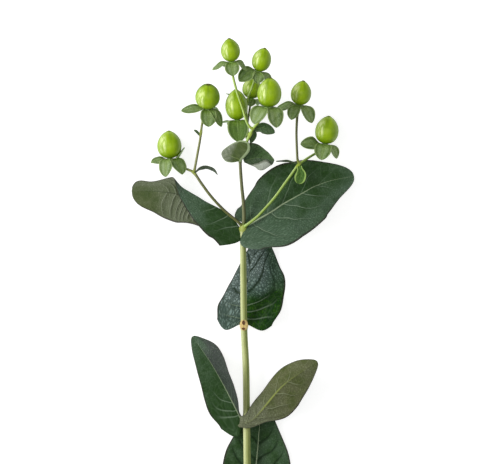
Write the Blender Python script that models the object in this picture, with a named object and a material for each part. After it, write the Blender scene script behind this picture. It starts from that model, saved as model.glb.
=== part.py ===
"""A cut stem of hypericum berries, lying on a flat surface.

The stem runs along +Y from its cut end to its topmost berry, and the surface it lies on is Z = 0.
The origin is the middle of the bounding box, on that surface.  Sizes are in millimetres and are
scaled to metres where meshes are made.  Every blade (leaf, bract or sepal) is an open sheet that a
Solidify modifier thickens, and every stem is a round tube swept along a smooth path.
"""

import math
from dataclasses import dataclass

import bmesh
import bpy
from mathutils import Matrix, Vector

MM = 0.001
UP = Vector((0.0, 0.0, 1.0))

# Clearance between pieces that touch, and thickness of the blades.
GAP = 0.3
LEAF_THICKNESS = 0.7
BRACT_THICKNESS = 0.6
SEPAL_THICKNESS = 0.6
CREASE_RADIUS = 1.1

# Rows crowd towards a blade's tip and stop at this share, where the tip is still a narrow edge.
TIP_SHARE = 0.985
LEAF_CROWDING = 1.4
SEPAL_CROWDING = 1.5

# How bluntly a blade ends: a higher power keeps the width longer and closes it more suddenly.
LEAF_END_POWER = 8
SEPAL_END_POWER = 6

# Share of a leaf's length over which the lobes at its base fade.
LOBE_FADE = 0.3

# Resolution of the faceted solids.
PATH_SAMPLES = 12
TANGENT_STEP = 0.02
ACROSS_STEPS = 8
SEPAL_STEPS = 10
LEAF_ROWS = 13
LEAF_COLUMNS = 4
CREASED_COLUMNS = 9
BRACT_ROWS = 6
BRACT_COLUMNS = 3
SEPAL_ROWS = 5
BERRY_SIDES = 12
BERRY_RINGS = 8
MAIN_STEM_SIDES = 12
BRANCH_SIDES = 8

# The main stem, from its cut end to the node that bears the top pair of leaves.
STEM_AXIS = ((2.6, -149.6, 1.92), (2.4, -110.0, 3.6), (2.3, -85.0, 5.2), (2.1, -62.0, 6.6),
             (1.8, -39.0, 7.9), (1.5, -14.5, 9.2), (0.5, 7.0, 10.4), (0.2, 32.0, 12.0),
             (0.0, 56.3, 13.4))
STEM_RADIUS_CUT_END = 1.95
STEM_RADIUS_TOP = 1.45
STEM_NODES_Y = (-85.0, -39.0, 7.0)
NODE_SWELLING = 0.35
NODE_HALF_LENGTH = 2.2
CUT_SLOPE = 0.5
STEM_RINGS = 14
NODE_RINGS = (-1.0, -0.4, 0.4, 1.0)

# The berries sit on a small disc, the calyx, with unequal sepals bent back from its rim.
CALYX_DISC_RADIUS = 1.7
SEPAL_WIDTHS = (0.5, 0.9, 1.0, 0.95, 0.8)
SEPAL_CUP = 0.2
SEPAL_BEND = 2.2
PEDICEL_FLARE = 1.5
NECK_LENGTH = 1.2
EGG_SHAPE = 0.1
BERRY_FULLNESS = 0.94
BEAK_RADIUS = 0.45
BEAK_FOOT = 0.1
BEAK_LENGTH = 0.3


@dataclass(frozen=True)
class Finish:
    """Colour (linear RGB) and roughness of one material."""

    name: str
    colour: tuple
    roughness: float


STEM_GREEN = Finish("stem_green", (0.42, 0.46, 0.12), 0.5)
BRANCH_OLIVE = Finish("branch_olive", (0.17, 0.16, 0.06), 0.5)
BRANCH_GREEN = Finish("branch_green", (0.30, 0.42, 0.08), 0.5)
LEAF_UPPER = Finish("leaf_upper", (0.035, 0.095, 0.05), 0.45)
LEAF_UNDER = Finish("leaf_under", (0.16, 0.19, 0.10), 0.6)
SEPAL_GREEN = Finish("sepal_green", (0.10, 0.25, 0.06), 0.5)
BERRY_GREEN = Finish("berry_green", (0.30, 0.52, 0.02), 0.25)


@dataclass(frozen=True)
class Half:
    """One half of a blade, from its midrib to its margin.

    widths and tilt run from base to tip at even stations.  tilt is in degrees from the blade's
    plane.  A crease turns the blade by crease_turn degrees at the distance that crease gives.
    The base reaches back by lobe at the share lobe_at of its width.
    """

    widths: tuple
    tilt: tuple = (0.0, 0.0)
    crease: tuple = ()
    crease_turn: float = 165.0
    lobe: float = 0.0
    lobe_at: float = 0.65


@dataclass(frozen=True)
class Blade:
    """A leaf or bract: the path of its midrib, its two halves and its roll about the midrib."""

    name: str
    finish: Finish
    midrib: tuple
    left: Half
    right: Half
    roll: tuple = (0.0, 0.0)
    floor: float = 0.0


@dataclass(frozen=True)
class Sepal:
    """A sepal: where it stands round the berry, its length and half-width, and how far it bends.

    azimuth is in degrees: 0 points to the left, 90 up from the surface, 180 to the right.
    droop is the angle in degrees that its tip makes below the calyx disc, and face is how far
    its upper side twists to look up from the surface.
    """

    azimuth: float
    length: float
    half_width: float
    droop: float
    face: float = 0.0


@dataclass(frozen=True)
class Berry:
    """A berry: its centre, the heading and elevation of its tip, its width, height and sepals."""

    number: int
    centre: tuple
    heading: float
    elevation: float
    width: float
    height: float
    sepals: tuple

    def axis(self):
        """Return the unit vector from the berry's base to its tip."""
        heading = math.radians(self.heading)
        elevation = math.radians(self.elevation)
        flat = math.cos(elevation)
        return Vector((math.sin(heading) * flat, math.cos(heading) * flat, math.sin(elevation)))

    def base(self, below=0.0):
        """Return the point on the axis that lies the given distance below the berry's base."""
        return Vector(self.centre) - self.axis() * (self.height / 2.0 + below)

    def frame(self, below=0.0):
        """Return a matrix whose Z is the berry's axis and whose Y points up from the surface."""
        axis = self.axis()
        left = UP.cross(axis).normalized()
        front = axis.cross(left)
        matrix = Matrix((left, front, axis)).transposed().to_4x4()
        matrix.translation = self.base(below)
        return matrix


BERRIES = (
    Berry(1, (-6.3, 144.7, 27.0), -6.6, 15.0, 9.5, 11.6,
          (Sepal(2, 8.7, 2.3, 22, 20), Sepal(88, 7.2, 3.7, 80), Sepal(172, 7.4, 2.5, 56, 15),
           Sepal(235, 6.5, 2.8, 40), Sepal(300, 6.5, 2.8, 40))),
    Berry(2, (9.35, 140.0, 22.0), 15.7, 15.0, 9.45, 11.8,
          (Sepal(28, 10.0, 4.0, 52, 40), Sepal(100, 6.0, 3.2, 75), Sepal(160, 9.5, 3.0, 45, 15),
           Sepal(235, 6.5, 2.8, 40), Sepal(312, 6.5, 2.8, 40))),
    Berry(3, (-17.65, 121.8, 19.0), 3.0, 28.0, 12.2, 12.8,
          (Sepal(8, 11.2, 2.8, 7, 25), Sepal(100, 9.0, 4.2, 62), Sepal(146, 10.8, 2.8, 54, 10),
           Sepal(232, 7.0, 3.0, 40), Sepal(302, 7.0, 3.0, 40))),
    Berry(4, (-3.25, 117.5, 16.0), -3.0, 4.0, 11.15, 15.0,
          (Sepal(92, 11.0, 5.4, 82), Sepal(172, 4.5, 2.6, 80), Sepal(258, 6.0, 2.8, 35),
           Sepal(305, 6.0, 2.8, 35), Sepal(346, 6.4, 2.4, 4))),
    Berry(5, (13.15, 123.5, 30.0), 4.0, 10.0, 12.0, 14.4,
          (Sepal(42, 11.0, 4.7, 58, 25), Sepal(128, 11.4, 4.6, 70, 15), Sepal(196, 6.5, 3.0, 30),
           Sepal(268, 6.5, 3.2, 40), Sepal(334, 6.5, 3.2, 30))),
    Berry(6, (29.05, 123.5, 17.0), 10.7, 15.0, 10.15, 12.2,
          (Sepal(6, 10.2, 3.0, 34, 25), Sepal(66, 8.4, 3.4, 72), Sepal(146, 10.4, 4.0, 48, 20),
           Sepal(235, 6.5, 2.8, 40), Sepal(305, 6.5, 2.8, 40))),
    Berry(7, (-36.85, 97.65, 6.1), -2.3, 3.0, 12.1, 13.6,
          (Sepal(66, 10.4, 3.7, 78), Sepal(132, 10.8, 4.4, 58, 10), Sepal(186, 7.4, 2.8, -44),
           Sepal(312, 5.0, 2.6, 40), Sepal(3, 7.8, 3.0, 10, 35))),
    Berry(8, (42.05, 105.0, 5.9), 7.9, 3.0, 11.65, 13.8,
          (Sepal(14, 10.8, 3.9, 8, 55), Sepal(82, 9.5, 4.4, 76), Sepal(152, 8.6, 3.4, 56, 15),
           Sepal(228, 5.0, 2.6, 40), Sepal(312, 5.0, 2.6, 40))),
    Berry(9, (4.5, 126.0, 6.6), 5.0, 2.0, 9.5, 10.4,
          (Sepal(4, 11.0, 2.2, -14), Sepal(90, 4.2, 2.6, 75), Sepal(160, 6.0, 2.6, 35),
           Sepal(232, 5.0, 2.5, 40), Sepal(308, 5.0, 2.5, 40))),
)

# Branches and pedicels: the points that each passes through before its berry, and its radii.
CENTRE_BRANCH = ((0.1, 56.75, 13.6), (0.5, 61.0, 14.3), (0.2, 68.75, 15.3), (-0.7, 77.7, 16.4),
                 (-1.4, 89.0, 17.8), (-0.8, 92.4, 18.6), (2.3, 100.0, 21.4), (4.8, 105.2, 23.2),
                 (7.85, 109.0, 25.3), (11.2, 113.2, 27.4))
LEFT_BRANCH = ((-1.8, 58.4, 14.9), (-3.5, 59.9, 15.3), (-9.7, 65.1, 15.8), (-15.9, 71.75, 15.8),
               (-20.85, 78.4, 14.4), (-24.3, 83.4, 12.2), (-27.0, 85.0, 9.2),
               (-30.0, 86.0, 5.8), (-34.6, 87.4, 4.7))
RIGHT_BRANCH = ((1.8, 57.5, 15.6), (6.9, 61.4, 16.2), (12.25, 67.0, 15.9), (16.7, 72.3, 15.5),
                (21.2, 78.6, 15.0), (24.75, 83.5, 14.6), (27.75, 87.5, 13.8),
                (31.9, 90.6, 11.4), (36.2, 93.2, 8.0), (40.0, 95.2, 6.0))
PEDICEL_1 = ((3.45, 106.3, 24.3), (1.7, 109.2, 24.8), (0.0, 115.0, 25.2), (-3.2, 124.5, 26.0),
             (-5.3, 133.0, 25.4))
PEDICEL_2 = ((2.5, 103.1, 20.2), (2.3, 107.5, 16.0), (1.8, 114.0, 12.3), (2.4, 120.5, 13.2),
             (4.6, 126.5, 15.5), (6.3, 130.9, 18.4))
PEDICEL_3 = ((-24.2, 85.2, 12.9), (-22.7, 93.2, 14.6), (-21.45, 100.1, 16.0), (-20.5, 107.5, 16.2),
             (-19.4, 112.6, 14.8))
PEDICEL_4 = ((-2.3, 91.7, 16.5), (-2.7, 98.0, 15.8), (-2.9, 105.0, 15.4))
PEDICEL_6 = ((27.5, 89.4, 14.2), (27.1, 92.0, 14.6), (26.7, 103.5, 15.6), (27.1, 112.0, 15.0))
PEDICEL_9 = ((1.9, 100.9, 19.9), (1.8, 103.0, 16.0), (2.4, 109.0, 9.6), (3.3, 115.5, 6.8))

CENTRE_RADII = (0.95, 0.85, 0.8, 0.75, 0.65)
STOUT_RADII = (0.62, 0.62, 0.6, 0.6, 0.62)
SIDE_RADII = (0.75, 0.7, 0.7, 0.65, 0.6)
PEDICEL_RADII = (0.55, 0.5, 0.5, 0.5, 0.55)

LEAVES = (
    Blade("leaf_top_right", LEAF_UPPER,
          ((3.0, 57.7, 13.0), (14.0, 63.9, 12.2), (20.3, 68.1, 11.6), (30.1, 73.6, 10.2),
           (35.9, 76.8, 9.4), (44.9, 79.9, 8.2), (55.6, 81.9, 7.0)),
          Half((11.0, 15.4, 18.2, 18.0, 14.4, 9.6, 7.6), (0.0, 4.0, 2.0), lobe=3.0),
          Half((17.0, 21.2, 20.3, 18.6, 15.5, 11.0, 8.0), (6.0, 4.0, -4.0), lobe=7.5, lobe_at=0.5),
          roll=(-30.0, -17.0, -10.0, -6.0)),
    Blade("leaf_top_left", LEAF_UNDER,
          ((-4.2, 54.8, 11.6), (-9.2, 60.6, 11.4), (-19.2, 66.8, 11.0), (-29.0, 71.9, 10.2),
           (-41.5, 74.2, 9.0), (-55.7, 74.5, 7.0)),
          Half((7.0, 9.5, 10.5, 13.8, 13.6, 11.2, 10.8), (-12.0, -10.0, -4.0)),
          Half((17.2, 19.0, 13.8, 10.0, 8.0, 7.2, 7.4), (0.0, 0.0),
               crease=(1.4, 1.5, 1.6, 1.3, 1.0, 1.1, 1.4, 2.9, 7.2, 10.0, 12.0, 13.0, 14.0),
               lobe=3.6)),
    Blade("leaf_behind_middle", LEAF_UPPER,
          ((0.5, 8.2, 7.9), (1.4, 17.0, 3.6), (2.2, 27.0, -0.5), (3.3, 39.0, -0.5),
           (9.5, 53.5, 3.4)),
          Half((13.6, 13.9, 10.8, 7.4, 4.6, 3.4, 2.4), (6.0, 2.0, 8.0), lobe=5.0),
          Half((14.0, 17.6, 18.4, 18.9, 17.8, 12.8, 7.0), (6.0, 2.0, 8.0), lobe=3.2),
          floor=LEAF_THICKNESS / 2.0),
    Blade("leaf_lower_left", LEAF_UPPER,
          ((-1.3, -38.6, 8.0), (-9.0, -23.6, 8.8), (-15.7, -12.0, 8.8), (-21.5, -3.6, 8.0),
           (-25.2, 1.8, 7.0)),
          Half((11.6, 13.3, 12.3, 10.2, 8.2, 5.9, 3.8), (-14.0, -10.0, -6.0), lobe=6.0),
          Half((2.0, 9.0, 11.5, 11.0, 9.6, 7.2, 4.0), (84.0, 74.0, 68.0, 60.0, 40.0, 12.0, 0.0))),
    Blade("leaf_lower_right", LEAF_UNDER,
          ((-0.6, -41.4, 11.3), (2.2, -41.2, 11.8), (5.6, -39.2, 12.4), (9.8, -34.6, 13.2),
           (19.2, -23.6, 14.4),
           (28.0, -16.8, 13.6), (37.2, -10.8, 12.0)),
          Half((3.4, 5.2, 7.0, 9.4, 10.4, 8.2, 4.6), (-4.0, -12.0, -44.0, -48.0, -36.0, -14.0)),
          Half((2.4, 4.8, 11.4, 12.6, 11.2, 8.2, 5.0), (-8.0, -8.0, -6.0), lobe=1.0)),
    Blade("leaf_behind_bottom", LEAF_UPPER,
          ((2.6, -83.5, 2.5), (5.4, -72.0, 1.5), (7.2, -56.0, 1.2), (8.2, -44.0, 1.4),
           (9.5, -29.5, 3.0)),
          Half((11.0, 15.6, 16.6, 15.6, 12.0, 8.0, 4.0), (3.0, 4.0, 10.0), lobe=3.0),
          Half((12.0, 16.8, 17.8, 16.0, 11.8, 7.8, 4.0), (3.0, 4.0, 10.0), lobe=3.0)),
)

BRACTS = (
    Blade("bract_centre_left", LEAF_UNDER,
          ((-3.0, 90.4, 18.1), (-6.4, 92.2, 18.7), (-10.6, 93.8, 18.4)),
          Half((1.8, 3.0, 3.2, 2.4), (-10.0, -10.0)),
          Half((10.4, 9.2, 5.4, 3.0), (0.0, 0.0))),
    Blade("bract_centre_right", LEAF_UPPER,
          ((0.6, 89.4, 16.6), (6.0, 91.0, 16.0), (11.0, 90.8, 15.8), (15.6, 89.6, 15.8)),
          Half((6.2, 7.8, 4.6, 2.4), (6.0, 0.0)),
          Half((1.6, 8.0, 10.6, 10.0, 5.0), (0.0, 0.0), crease=(1.2, 3.8, 5.2, 5.0, 3.0))),
    Blade("bract_upper_fork", LEAF_UPPER,
          ((6.6, 105.3, 22.0), (10.0, 106.0, 22.2), (15.8, 103.6, 22.0)),
          Half((1.4, 2.5, 2.3, 1.4)),
          Half((1.4, 2.7, 2.5, 1.4))),
    Blade("bract_upper_fork_small", LEAF_UPPER,
          ((3.9, 101.6, 20.2), (5.4, 100.6, 20.0), (7.0, 98.9, 19.6)),
          Half((1.0, 1.9, 1.7, 1.0)),
          Half((1.0, 1.9, 1.7, 1.0))),
    Blade("bract_left_fork", LEAF_UPPER,
          ((-23.0, 84.5, 14.0), (-21.3, 85.7, 14.8), (-18.2, 86.3, 15.4), (-15.0, 85.2, 15.6),
           (-12.8, 82.7, 15.2)),
          Half((0.8, 1.9, 2.2, 1.4)),
          Half((0.8, 1.9, 2.2, 1.4)),
          roll=(60.0, 74.0)),
    Blade("bract_right_fork_narrow", LEAF_UPPER,
          ((26.2, 88.6, 13.6), (22.0, 90.0, 13.0), (16.6, 89.6, 12.4)),
          Half((0.8, 1.5, 1.4, 0.9)),
          Half((0.8, 1.5, 1.4, 0.9)),
          roll=(-55.0, -62.0)),
    Blade("bract_right_fork_round", SEPAL_GREEN,
          ((28.4, 85.6, 14.8), (28.8, 82.4, 15.4), (27.6, 78.2, 14.6)),
          Half((1.2, 2.6, 2.8, 2.2), (14.0, 14.0)),
          Half((1.2, 2.6, 2.8, 2.2), (14.0, 14.0))),
    Blade("bract_left_pedicel", BRANCH_GREEN,
          ((-22.3, 103.2, 16.6), (-23.2, 104.2, 17.0), (-24.4, 104.9, 17.0)),
          Half((0.6, 0.8, 0.8, 0.6)),
          Half((0.6, 0.8, 0.8, 0.6))),
)


def clear_scene():
    """Remove every object from the scene."""
    for existing in list(bpy.data.objects):
        bpy.data.objects.remove(existing, do_unlink=True)


def make_material(finish):
    """Return the material of a finish, made once."""
    material = bpy.data.materials.get(finish.name)
    if material is None:
        material = bpy.data.materials.new(finish.name)
        material.use_nodes = True
        shader = material.node_tree.nodes["Principled BSDF"]
        shader.inputs["Base Color"].default_value = (*finish.colour, 1.0)
        shader.inputs["Roughness"].default_value = finish.roughness
        shader.inputs["Metallic"].default_value = 0.0
    return material


def add_object(name, bm, finish):
    """Turn a bmesh in millimetres into a smooth shaded object in metres, and return it."""
    bmesh.ops.scale(bm, vec=Vector((MM, MM, MM)), verts=bm.verts)
    mesh = bpy.data.meshes.new(name)
    bm.to_mesh(mesh)
    bm.free()
    mesh.shade_smooth()
    mesh.set_sharp_from_angle(angle=math.radians(50.0))
    mesh.materials.append(make_material(finish))
    piece = bpy.data.objects.new(name, mesh)
    bpy.context.collection.objects.link(piece)
    return piece


def blend(values, position):
    """Return the smooth curve through evenly spaced values at a position from 0 to 1."""
    spans = len(values) - 1
    scaled = min(max(position, 0.0), 1.0) * spans
    index = min(int(scaled), spans - 1)
    t = scaled - index
    before = values[max(index - 1, 0)]
    start = values[index]
    end = values[index + 1]
    after = values[min(index + 2, spans)]
    rise = (end - before) * 0.5
    fall = (after - start) * 0.5
    bend = (start - end) * 2.0 + rise + fall
    return start + rise * t + ((end - start) * 3.0 - rise * 2.0 - fall) * t ** 2 + bend * t ** 3


def ease(value):
    """Return a value clamped to 0 to 1 and eased at both ends."""
    value = min(max(value, 0.0), 1.0)
    return value * value * (3.0 - 2.0 * value)


class Path:
    """A smooth path through points, read at even lengths along it."""

    def __init__(self, points):
        """Sample the smooth curve through the points and measure it."""
        knots = [Vector(point) for point in points]
        count = PATH_SAMPLES * (len(knots) - 1)
        self.samples = [blend(knots, index / count) for index in range(count + 1)]
        self.lengths = [0.0]
        for start, end in zip(self.samples, self.samples[1:]):
            self.lengths.append(self.lengths[-1] + (end - start).length)

    def point(self, position):
        """Return the point at a share of the path's length."""
        target = min(max(position, 0.0), 1.0) * self.lengths[-1]
        index = 0
        while index < len(self.lengths) - 2 and self.lengths[index + 1] < target:
            index += 1
        share = (target - self.lengths[index]) / (self.lengths[index + 1] - self.lengths[index])
        return self.samples[index].lerp(self.samples[index + 1], share)

    def tangent(self, position):
        """Return the unit tangent at a share of the path's length."""
        ahead = self.point(min(position + TANGENT_STEP, 1.0))
        behind = self.point(max(position - TANGENT_STEP, 0.0))
        return (ahead - behind).normalized()


def add_tube(name, centres, radii, sides, finish, cut_slope=0.0):
    """Add a round tube through centres with flat ends; cut_slope slants its first end."""
    bm = bmesh.new()
    rings = []
    side = None
    for index, (centre, radius) in enumerate(zip(centres, radii)):
        ahead = centres[min(index + 1, len(centres) - 1)]
        behind = centres[max(index - 1, 0)]
        tangent = (ahead - behind).normalized()
        side = (UP.cross(tangent) if side is None else side - tangent * side.dot(tangent)).normalized()
        front = tangent.cross(side)
        slope = cut_slope if index == 0 else 0.0
        ring = []
        for corner in range(sides):
            angle = math.tau * (corner + 0.5) / sides
            offset = side * math.cos(angle) + front * math.sin(angle)
            slant = tangent * (slope * math.sin(angle))
            ring.append(bm.verts.new(centre + (offset + slant) * radius))
        rings.append(ring)
    for ring, following in zip(rings, rings[1:]):
        for corner in range(sides):
            beside = (corner + 1) % sides
            bm.faces.new((ring[corner], ring[beside], following[beside], following[corner]))
    bm.faces.new(list(reversed(rings[0])))
    bm.faces.new(rings[-1])
    return add_object(name, bm, finish)


def add_main_stem():
    """Add the main stem, swollen a little at its nodes, with a slanted cut end."""
    path = Path(STEM_AXIS)
    positions = {index / STEM_RINGS for index in range(STEM_RINGS + 1)}
    first_y = STEM_AXIS[0][1]
    span_y = STEM_AXIS[-1][1] - first_y
    for node_y in STEM_NODES_Y:
        for step in NODE_RINGS:
            positions.add((node_y + step * NODE_HALF_LENGTH - first_y) / span_y)
    centres = [path.point(position) for position in sorted(positions)]
    radii = []
    for position, centre in zip(sorted(positions), centres):
        radius = STEM_RADIUS_CUT_END + (STEM_RADIUS_TOP - STEM_RADIUS_CUT_END) * position
        nearest = min(abs(centre.y - node_y) for node_y in STEM_NODES_Y)
        radii.append(radius + NODE_SWELLING * (1.0 - ease(nearest / NODE_HALF_LENGTH)))
    add_tube("main_stem", centres, radii, MAIN_STEM_SIDES, STEM_GREEN, CUT_SLOPE)


def add_branch(name, points, radii, finish, berry, rings):
    """Add a branch or pedicel through points to the foot of its berry, where it widens."""
    foot = berry.base(below=2.0 * GAP + SEPAL_THICKNESS)
    path = Path((*points, tuple(foot - berry.axis() * NECK_LENGTH)))
    centres = [path.point(index / rings) for index in range(rings + 1)]
    widths = [blend(radii, index / rings) for index in range(rings + 1)]
    centres.append(foot)
    widths.append(widths[-1] * PEDICEL_FLARE)
    add_tube(name, centres, widths, BRANCH_SIDES, finish)


def add_berry(berry):
    """Add a berry: an egg shape turned about its axis, with a short blunt beak at its tip."""
    bm = bmesh.new()
    profile = []
    for index in range(1, BERRY_RINGS):
        angle = math.pi * index / BERRY_RINGS
        bulge = math.sin(angle) ** BERRY_FULLNESS * (1.0 + EGG_SHAPE * math.cos(angle))
        profile.append((berry.width / 2.0 * bulge, berry.height / 2.0 * (1.0 - math.cos(angle))))
    profile.append((BEAK_RADIUS, berry.height - BEAK_FOOT))
    rings = []
    for radius, height in profile:
        ring = []
        for corner in range(BERRY_SIDES):
            angle = math.tau * corner / BERRY_SIDES
            ring.append(bm.verts.new((radius * math.cos(angle), radius * math.sin(angle), height)))
        rings.append(ring)
    bottom = bm.verts.new((0.0, 0.0, 0.0))
    top = bm.verts.new((0.0, 0.0, berry.height + BEAK_LENGTH))
    for corner in range(BERRY_SIDES):
        beside = (corner + 1) % BERRY_SIDES
        bm.faces.new((bottom, rings[0][beside], rings[0][corner]))
        bm.faces.new((top, rings[-1][corner], rings[-1][beside]))
        for ring, following in zip(rings, rings[1:]):
            bm.faces.new((ring[corner], ring[beside], following[beside], following[corner]))
    bmesh.ops.transform(bm, matrix=berry.frame(), verts=bm.verts)
    add_object(f"berry_{berry.number}", bm, BERRY_GREEN)


def sepal_row(sepal, position):
    """Return the left edge, middle and right edge of a sepal at a share of its length."""
    azimuth = math.radians(sepal.azimuth)
    outward = Vector((math.cos(azimuth), math.sin(azimuth), 0.0))
    across = Vector((-math.sin(azimuth), math.cos(azimuth), 0.0))
    middle = outward * CALYX_DISC_RADIUS
    angle = 0.0
    for step in range(SEPAL_STEPS):
        reached = position * (step + 0.5) / SEPAL_STEPS
        angle = math.radians(sepal.droop) * ease(reached * SEPAL_BEND)
        ahead = outward * math.cos(angle) - UP * math.sin(angle)
        middle = middle + ahead * (sepal.length * position / SEPAL_STEPS)
    normal = UP * math.cos(angle) + outward * math.sin(angle)
    twist = -math.radians(sepal.face) * math.cos(azimuth) * ease(position * SEPAL_BEND)
    side = across * math.cos(twist) + normal * math.sin(twist)
    lift = normal * math.cos(twist) - across * math.sin(twist)
    end = math.sqrt(1.0 - position ** SEPAL_END_POWER)
    width = sepal.half_width * blend(SEPAL_WIDTHS, position) * end
    edge = lift * (SEPAL_CUP * width)
    return middle - side * width + edge, middle, middle + side * width + edge


def add_calyx(berry):
    """Add a calyx as one sheet: a small disc whose rim runs out into five sepals."""
    bm = bmesh.new()
    centre = bm.verts.new((0.0, 0.0, 0.0))
    sepals = berry.sepals
    corners = []
    for sepal, following in zip(sepals, sepals[1:] + sepals[:1]):
        gap = (following.azimuth - sepal.azimuth) % 360.0
        angle = math.radians(sepal.azimuth + gap / 2.0)
        corners.append(bm.verts.new((CALYX_DISC_RADIUS * math.cos(angle),
                                     CALYX_DISC_RADIUS * math.sin(angle), 0.0)))
    for index, sepal in enumerate(sepals):
        middle = bm.verts.new(sepal_row(sepal, 0.0)[1])
        row = (corners[index - 1], middle, corners[index])
        bm.faces.new((centre, row[0], row[1]))
        bm.faces.new((centre, row[1], row[2]))
        for step in range(1, SEPAL_ROWS + 1):
            position = 1.0 - (1.0 - TIP_SHARE * step / SEPAL_ROWS) ** SEPAL_CROWDING
            following = [bm.verts.new(point) for point in sepal_row(sepal, position)]
            for left, right in ((0, 1), (1, 2)):
                bm.faces.new((row[left], following[left], following[right]))
                bm.faces.new((row[left], following[right], row[right]))
            row = following
    matrix = berry.frame(below=GAP + SEPAL_THICKNESS / 2.0)
    bmesh.ops.transform(bm, matrix=matrix, verts=bm.verts)
    piece = add_object(f"calyx_{berry.number}", bm, SEPAL_GREEN)
    thicken(piece, SEPAL_THICKNESS)


def thicken(piece, thickness):
    """Thicken a sheet evenly on both sides."""
    solidify = piece.modifiers.new("thickness", "SOLIDIFY")
    solidify.thickness = thickness * MM
    solidify.offset = 0.0
    solidify.use_even_offset = False


def across(half, position, columns):
    """Return (distance, lift, share) of a half-blade's columns across one station."""
    width = blend(half.widths, position) * math.sqrt(1.0 - position ** LEAF_END_POWER)
    tilt = math.radians(blend(half.tilt, position))
    turn = math.radians(half.crease_turn)
    crease = blend(half.crease, position) if half.crease else math.inf
    distance = 0.0
    lift = 0.0
    result = []
    step_length = width / (columns * ACROSS_STEPS)
    for column in range(1, columns + 1):
        for step in range(ACROSS_STEPS):
            reached = ((column - 1) * ACROSS_STEPS + step + 0.5) * step_length
            angle = tilt + turn * ease((reached - crease) / (CREASE_RADIUS * turn))
            distance += math.cos(angle) * step_length
            lift += math.sin(angle) * step_length
        result.append((distance, lift, column / columns))
    return result


def add_blade(blade, rows, columns, thickness):
    """Add a leaf or bract as a triangulated sheet thickened by a modifier."""
    bm = bmesh.new()
    path = Path(blade.midrib)
    grid = []
    for row in range(rows + 1):
        position = 1.0 - (1.0 - TIP_SHARE * row / rows) ** LEAF_CROWDING
        fade = ease(1.0 - position / LOBE_FADE)
        origin = path.point(position)
        tangent = path.tangent(position)
        level = UP.cross(tangent).normalized()
        roll = math.radians(blend(blade.roll, position))
        side = level * math.cos(roll) + tangent.cross(level) * math.sin(roll)
        normal = tangent.cross(side)
        line = [origin]
        for half, sign in ((blade.left, 1.0), (blade.right, -1.0)):
            points = []
            hump = math.log(0.5) / math.log(half.lobe_at)
            for distance, lift, share in across(half, position, columns):
                back = half.lobe * math.sin(math.pi * share ** hump) * fade
                points.append(origin + side * (sign * distance) + normal * lift - tangent * back)
            line = line + points if sign > 0.0 else points[::-1] + line
        for point in line:
            point.z = max(point.z, blade.floor)
        grid.append([bm.verts.new(point) for point in line])
    for line, following in zip(grid, grid[1:]):
        for index in range(len(line) - 1):
            bm.faces.new((line[index], line[index + 1], following[index + 1]))
            bm.faces.new((line[index], following[index + 1], following[index]))
    thicken(add_object(blade.name, bm, blade.finish), thickness)


def main():
    """Build the whole stem."""
    clear_scene()
    add_main_stem()
    berries = {berry.number: berry for berry in BERRIES}
    add_branch("centre_branch", CENTRE_BRANCH, CENTRE_RADII, STEM_GREEN, berries[5], 22)
    add_branch("left_branch", LEFT_BRANCH, SIDE_RADII, BRANCH_OLIVE, berries[7], 18)
    add_branch("right_branch", RIGHT_BRANCH, SIDE_RADII, BRANCH_GREEN, berries[8], 18)
    add_branch("pedicel_1", PEDICEL_1, STOUT_RADII, BRANCH_GREEN, berries[1], 10)
    add_branch("pedicel_2", PEDICEL_2, PEDICEL_RADII, BRANCH_OLIVE, berries[2], 12)
    add_branch("pedicel_3", PEDICEL_3, STOUT_RADII, BRANCH_OLIVE, berries[3], 10)
    add_branch("pedicel_4", PEDICEL_4, PEDICEL_RADII, BRANCH_OLIVE, berries[4], 6)
    add_branch("pedicel_6", PEDICEL_6, PEDICEL_RADII, BRANCH_OLIVE, berries[6], 10)
    add_branch("pedicel_9", PEDICEL_9, PEDICEL_RADII, BRANCH_OLIVE, berries[9], 10)
    for berry in BERRIES:
        add_berry(berry)
        add_calyx(berry)
    for leaf in LEAVES:
        columns = CREASED_COLUMNS if leaf.right.crease else LEAF_COLUMNS
        add_blade(leaf, LEAF_ROWS, columns, LEAF_THICKNESS)
    for bract in BRACTS:
        columns = CREASED_COLUMNS if bract.right.crease else BRACT_COLUMNS
        add_blade(bract, BRACT_ROWS, columns, BRACT_THICKNESS)


if __name__ == "__main__":
    main()
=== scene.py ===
"""Looks of a cut stem of green hypericum berries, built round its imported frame.

Sizes are in millimetres, as in the part's own source, and become metres where meshes are made.
The stem lies along +Y on the surface Z = 0, with its berries at the far end.
"""

import logging
import math
from dataclasses import dataclass, replace
from enum import Enum
from typing import Any, Union

import bpy
from mathutils import Matrix, Vector


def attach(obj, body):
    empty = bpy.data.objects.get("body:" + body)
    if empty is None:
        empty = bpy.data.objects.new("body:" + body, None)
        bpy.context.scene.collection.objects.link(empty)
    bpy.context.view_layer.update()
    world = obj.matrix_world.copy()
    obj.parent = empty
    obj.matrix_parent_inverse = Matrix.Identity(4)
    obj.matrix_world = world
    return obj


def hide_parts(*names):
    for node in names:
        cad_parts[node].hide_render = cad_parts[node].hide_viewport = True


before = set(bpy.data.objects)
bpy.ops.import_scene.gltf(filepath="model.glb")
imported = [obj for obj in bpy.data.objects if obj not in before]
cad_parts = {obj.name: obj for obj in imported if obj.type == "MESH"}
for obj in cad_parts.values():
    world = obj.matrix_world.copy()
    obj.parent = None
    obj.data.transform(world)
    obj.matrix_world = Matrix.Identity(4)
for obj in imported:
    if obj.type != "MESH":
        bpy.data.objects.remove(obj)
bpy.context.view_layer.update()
LOG = logging.getLogger("hypericum")

MM = 0.001
UP = Vector((0.0, 0.0, 1.0))
BODY = "root"
# Sheets end this share of the way to their tip, where they are still wide enough to close.
TIP_SHARE = 0.985
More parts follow.
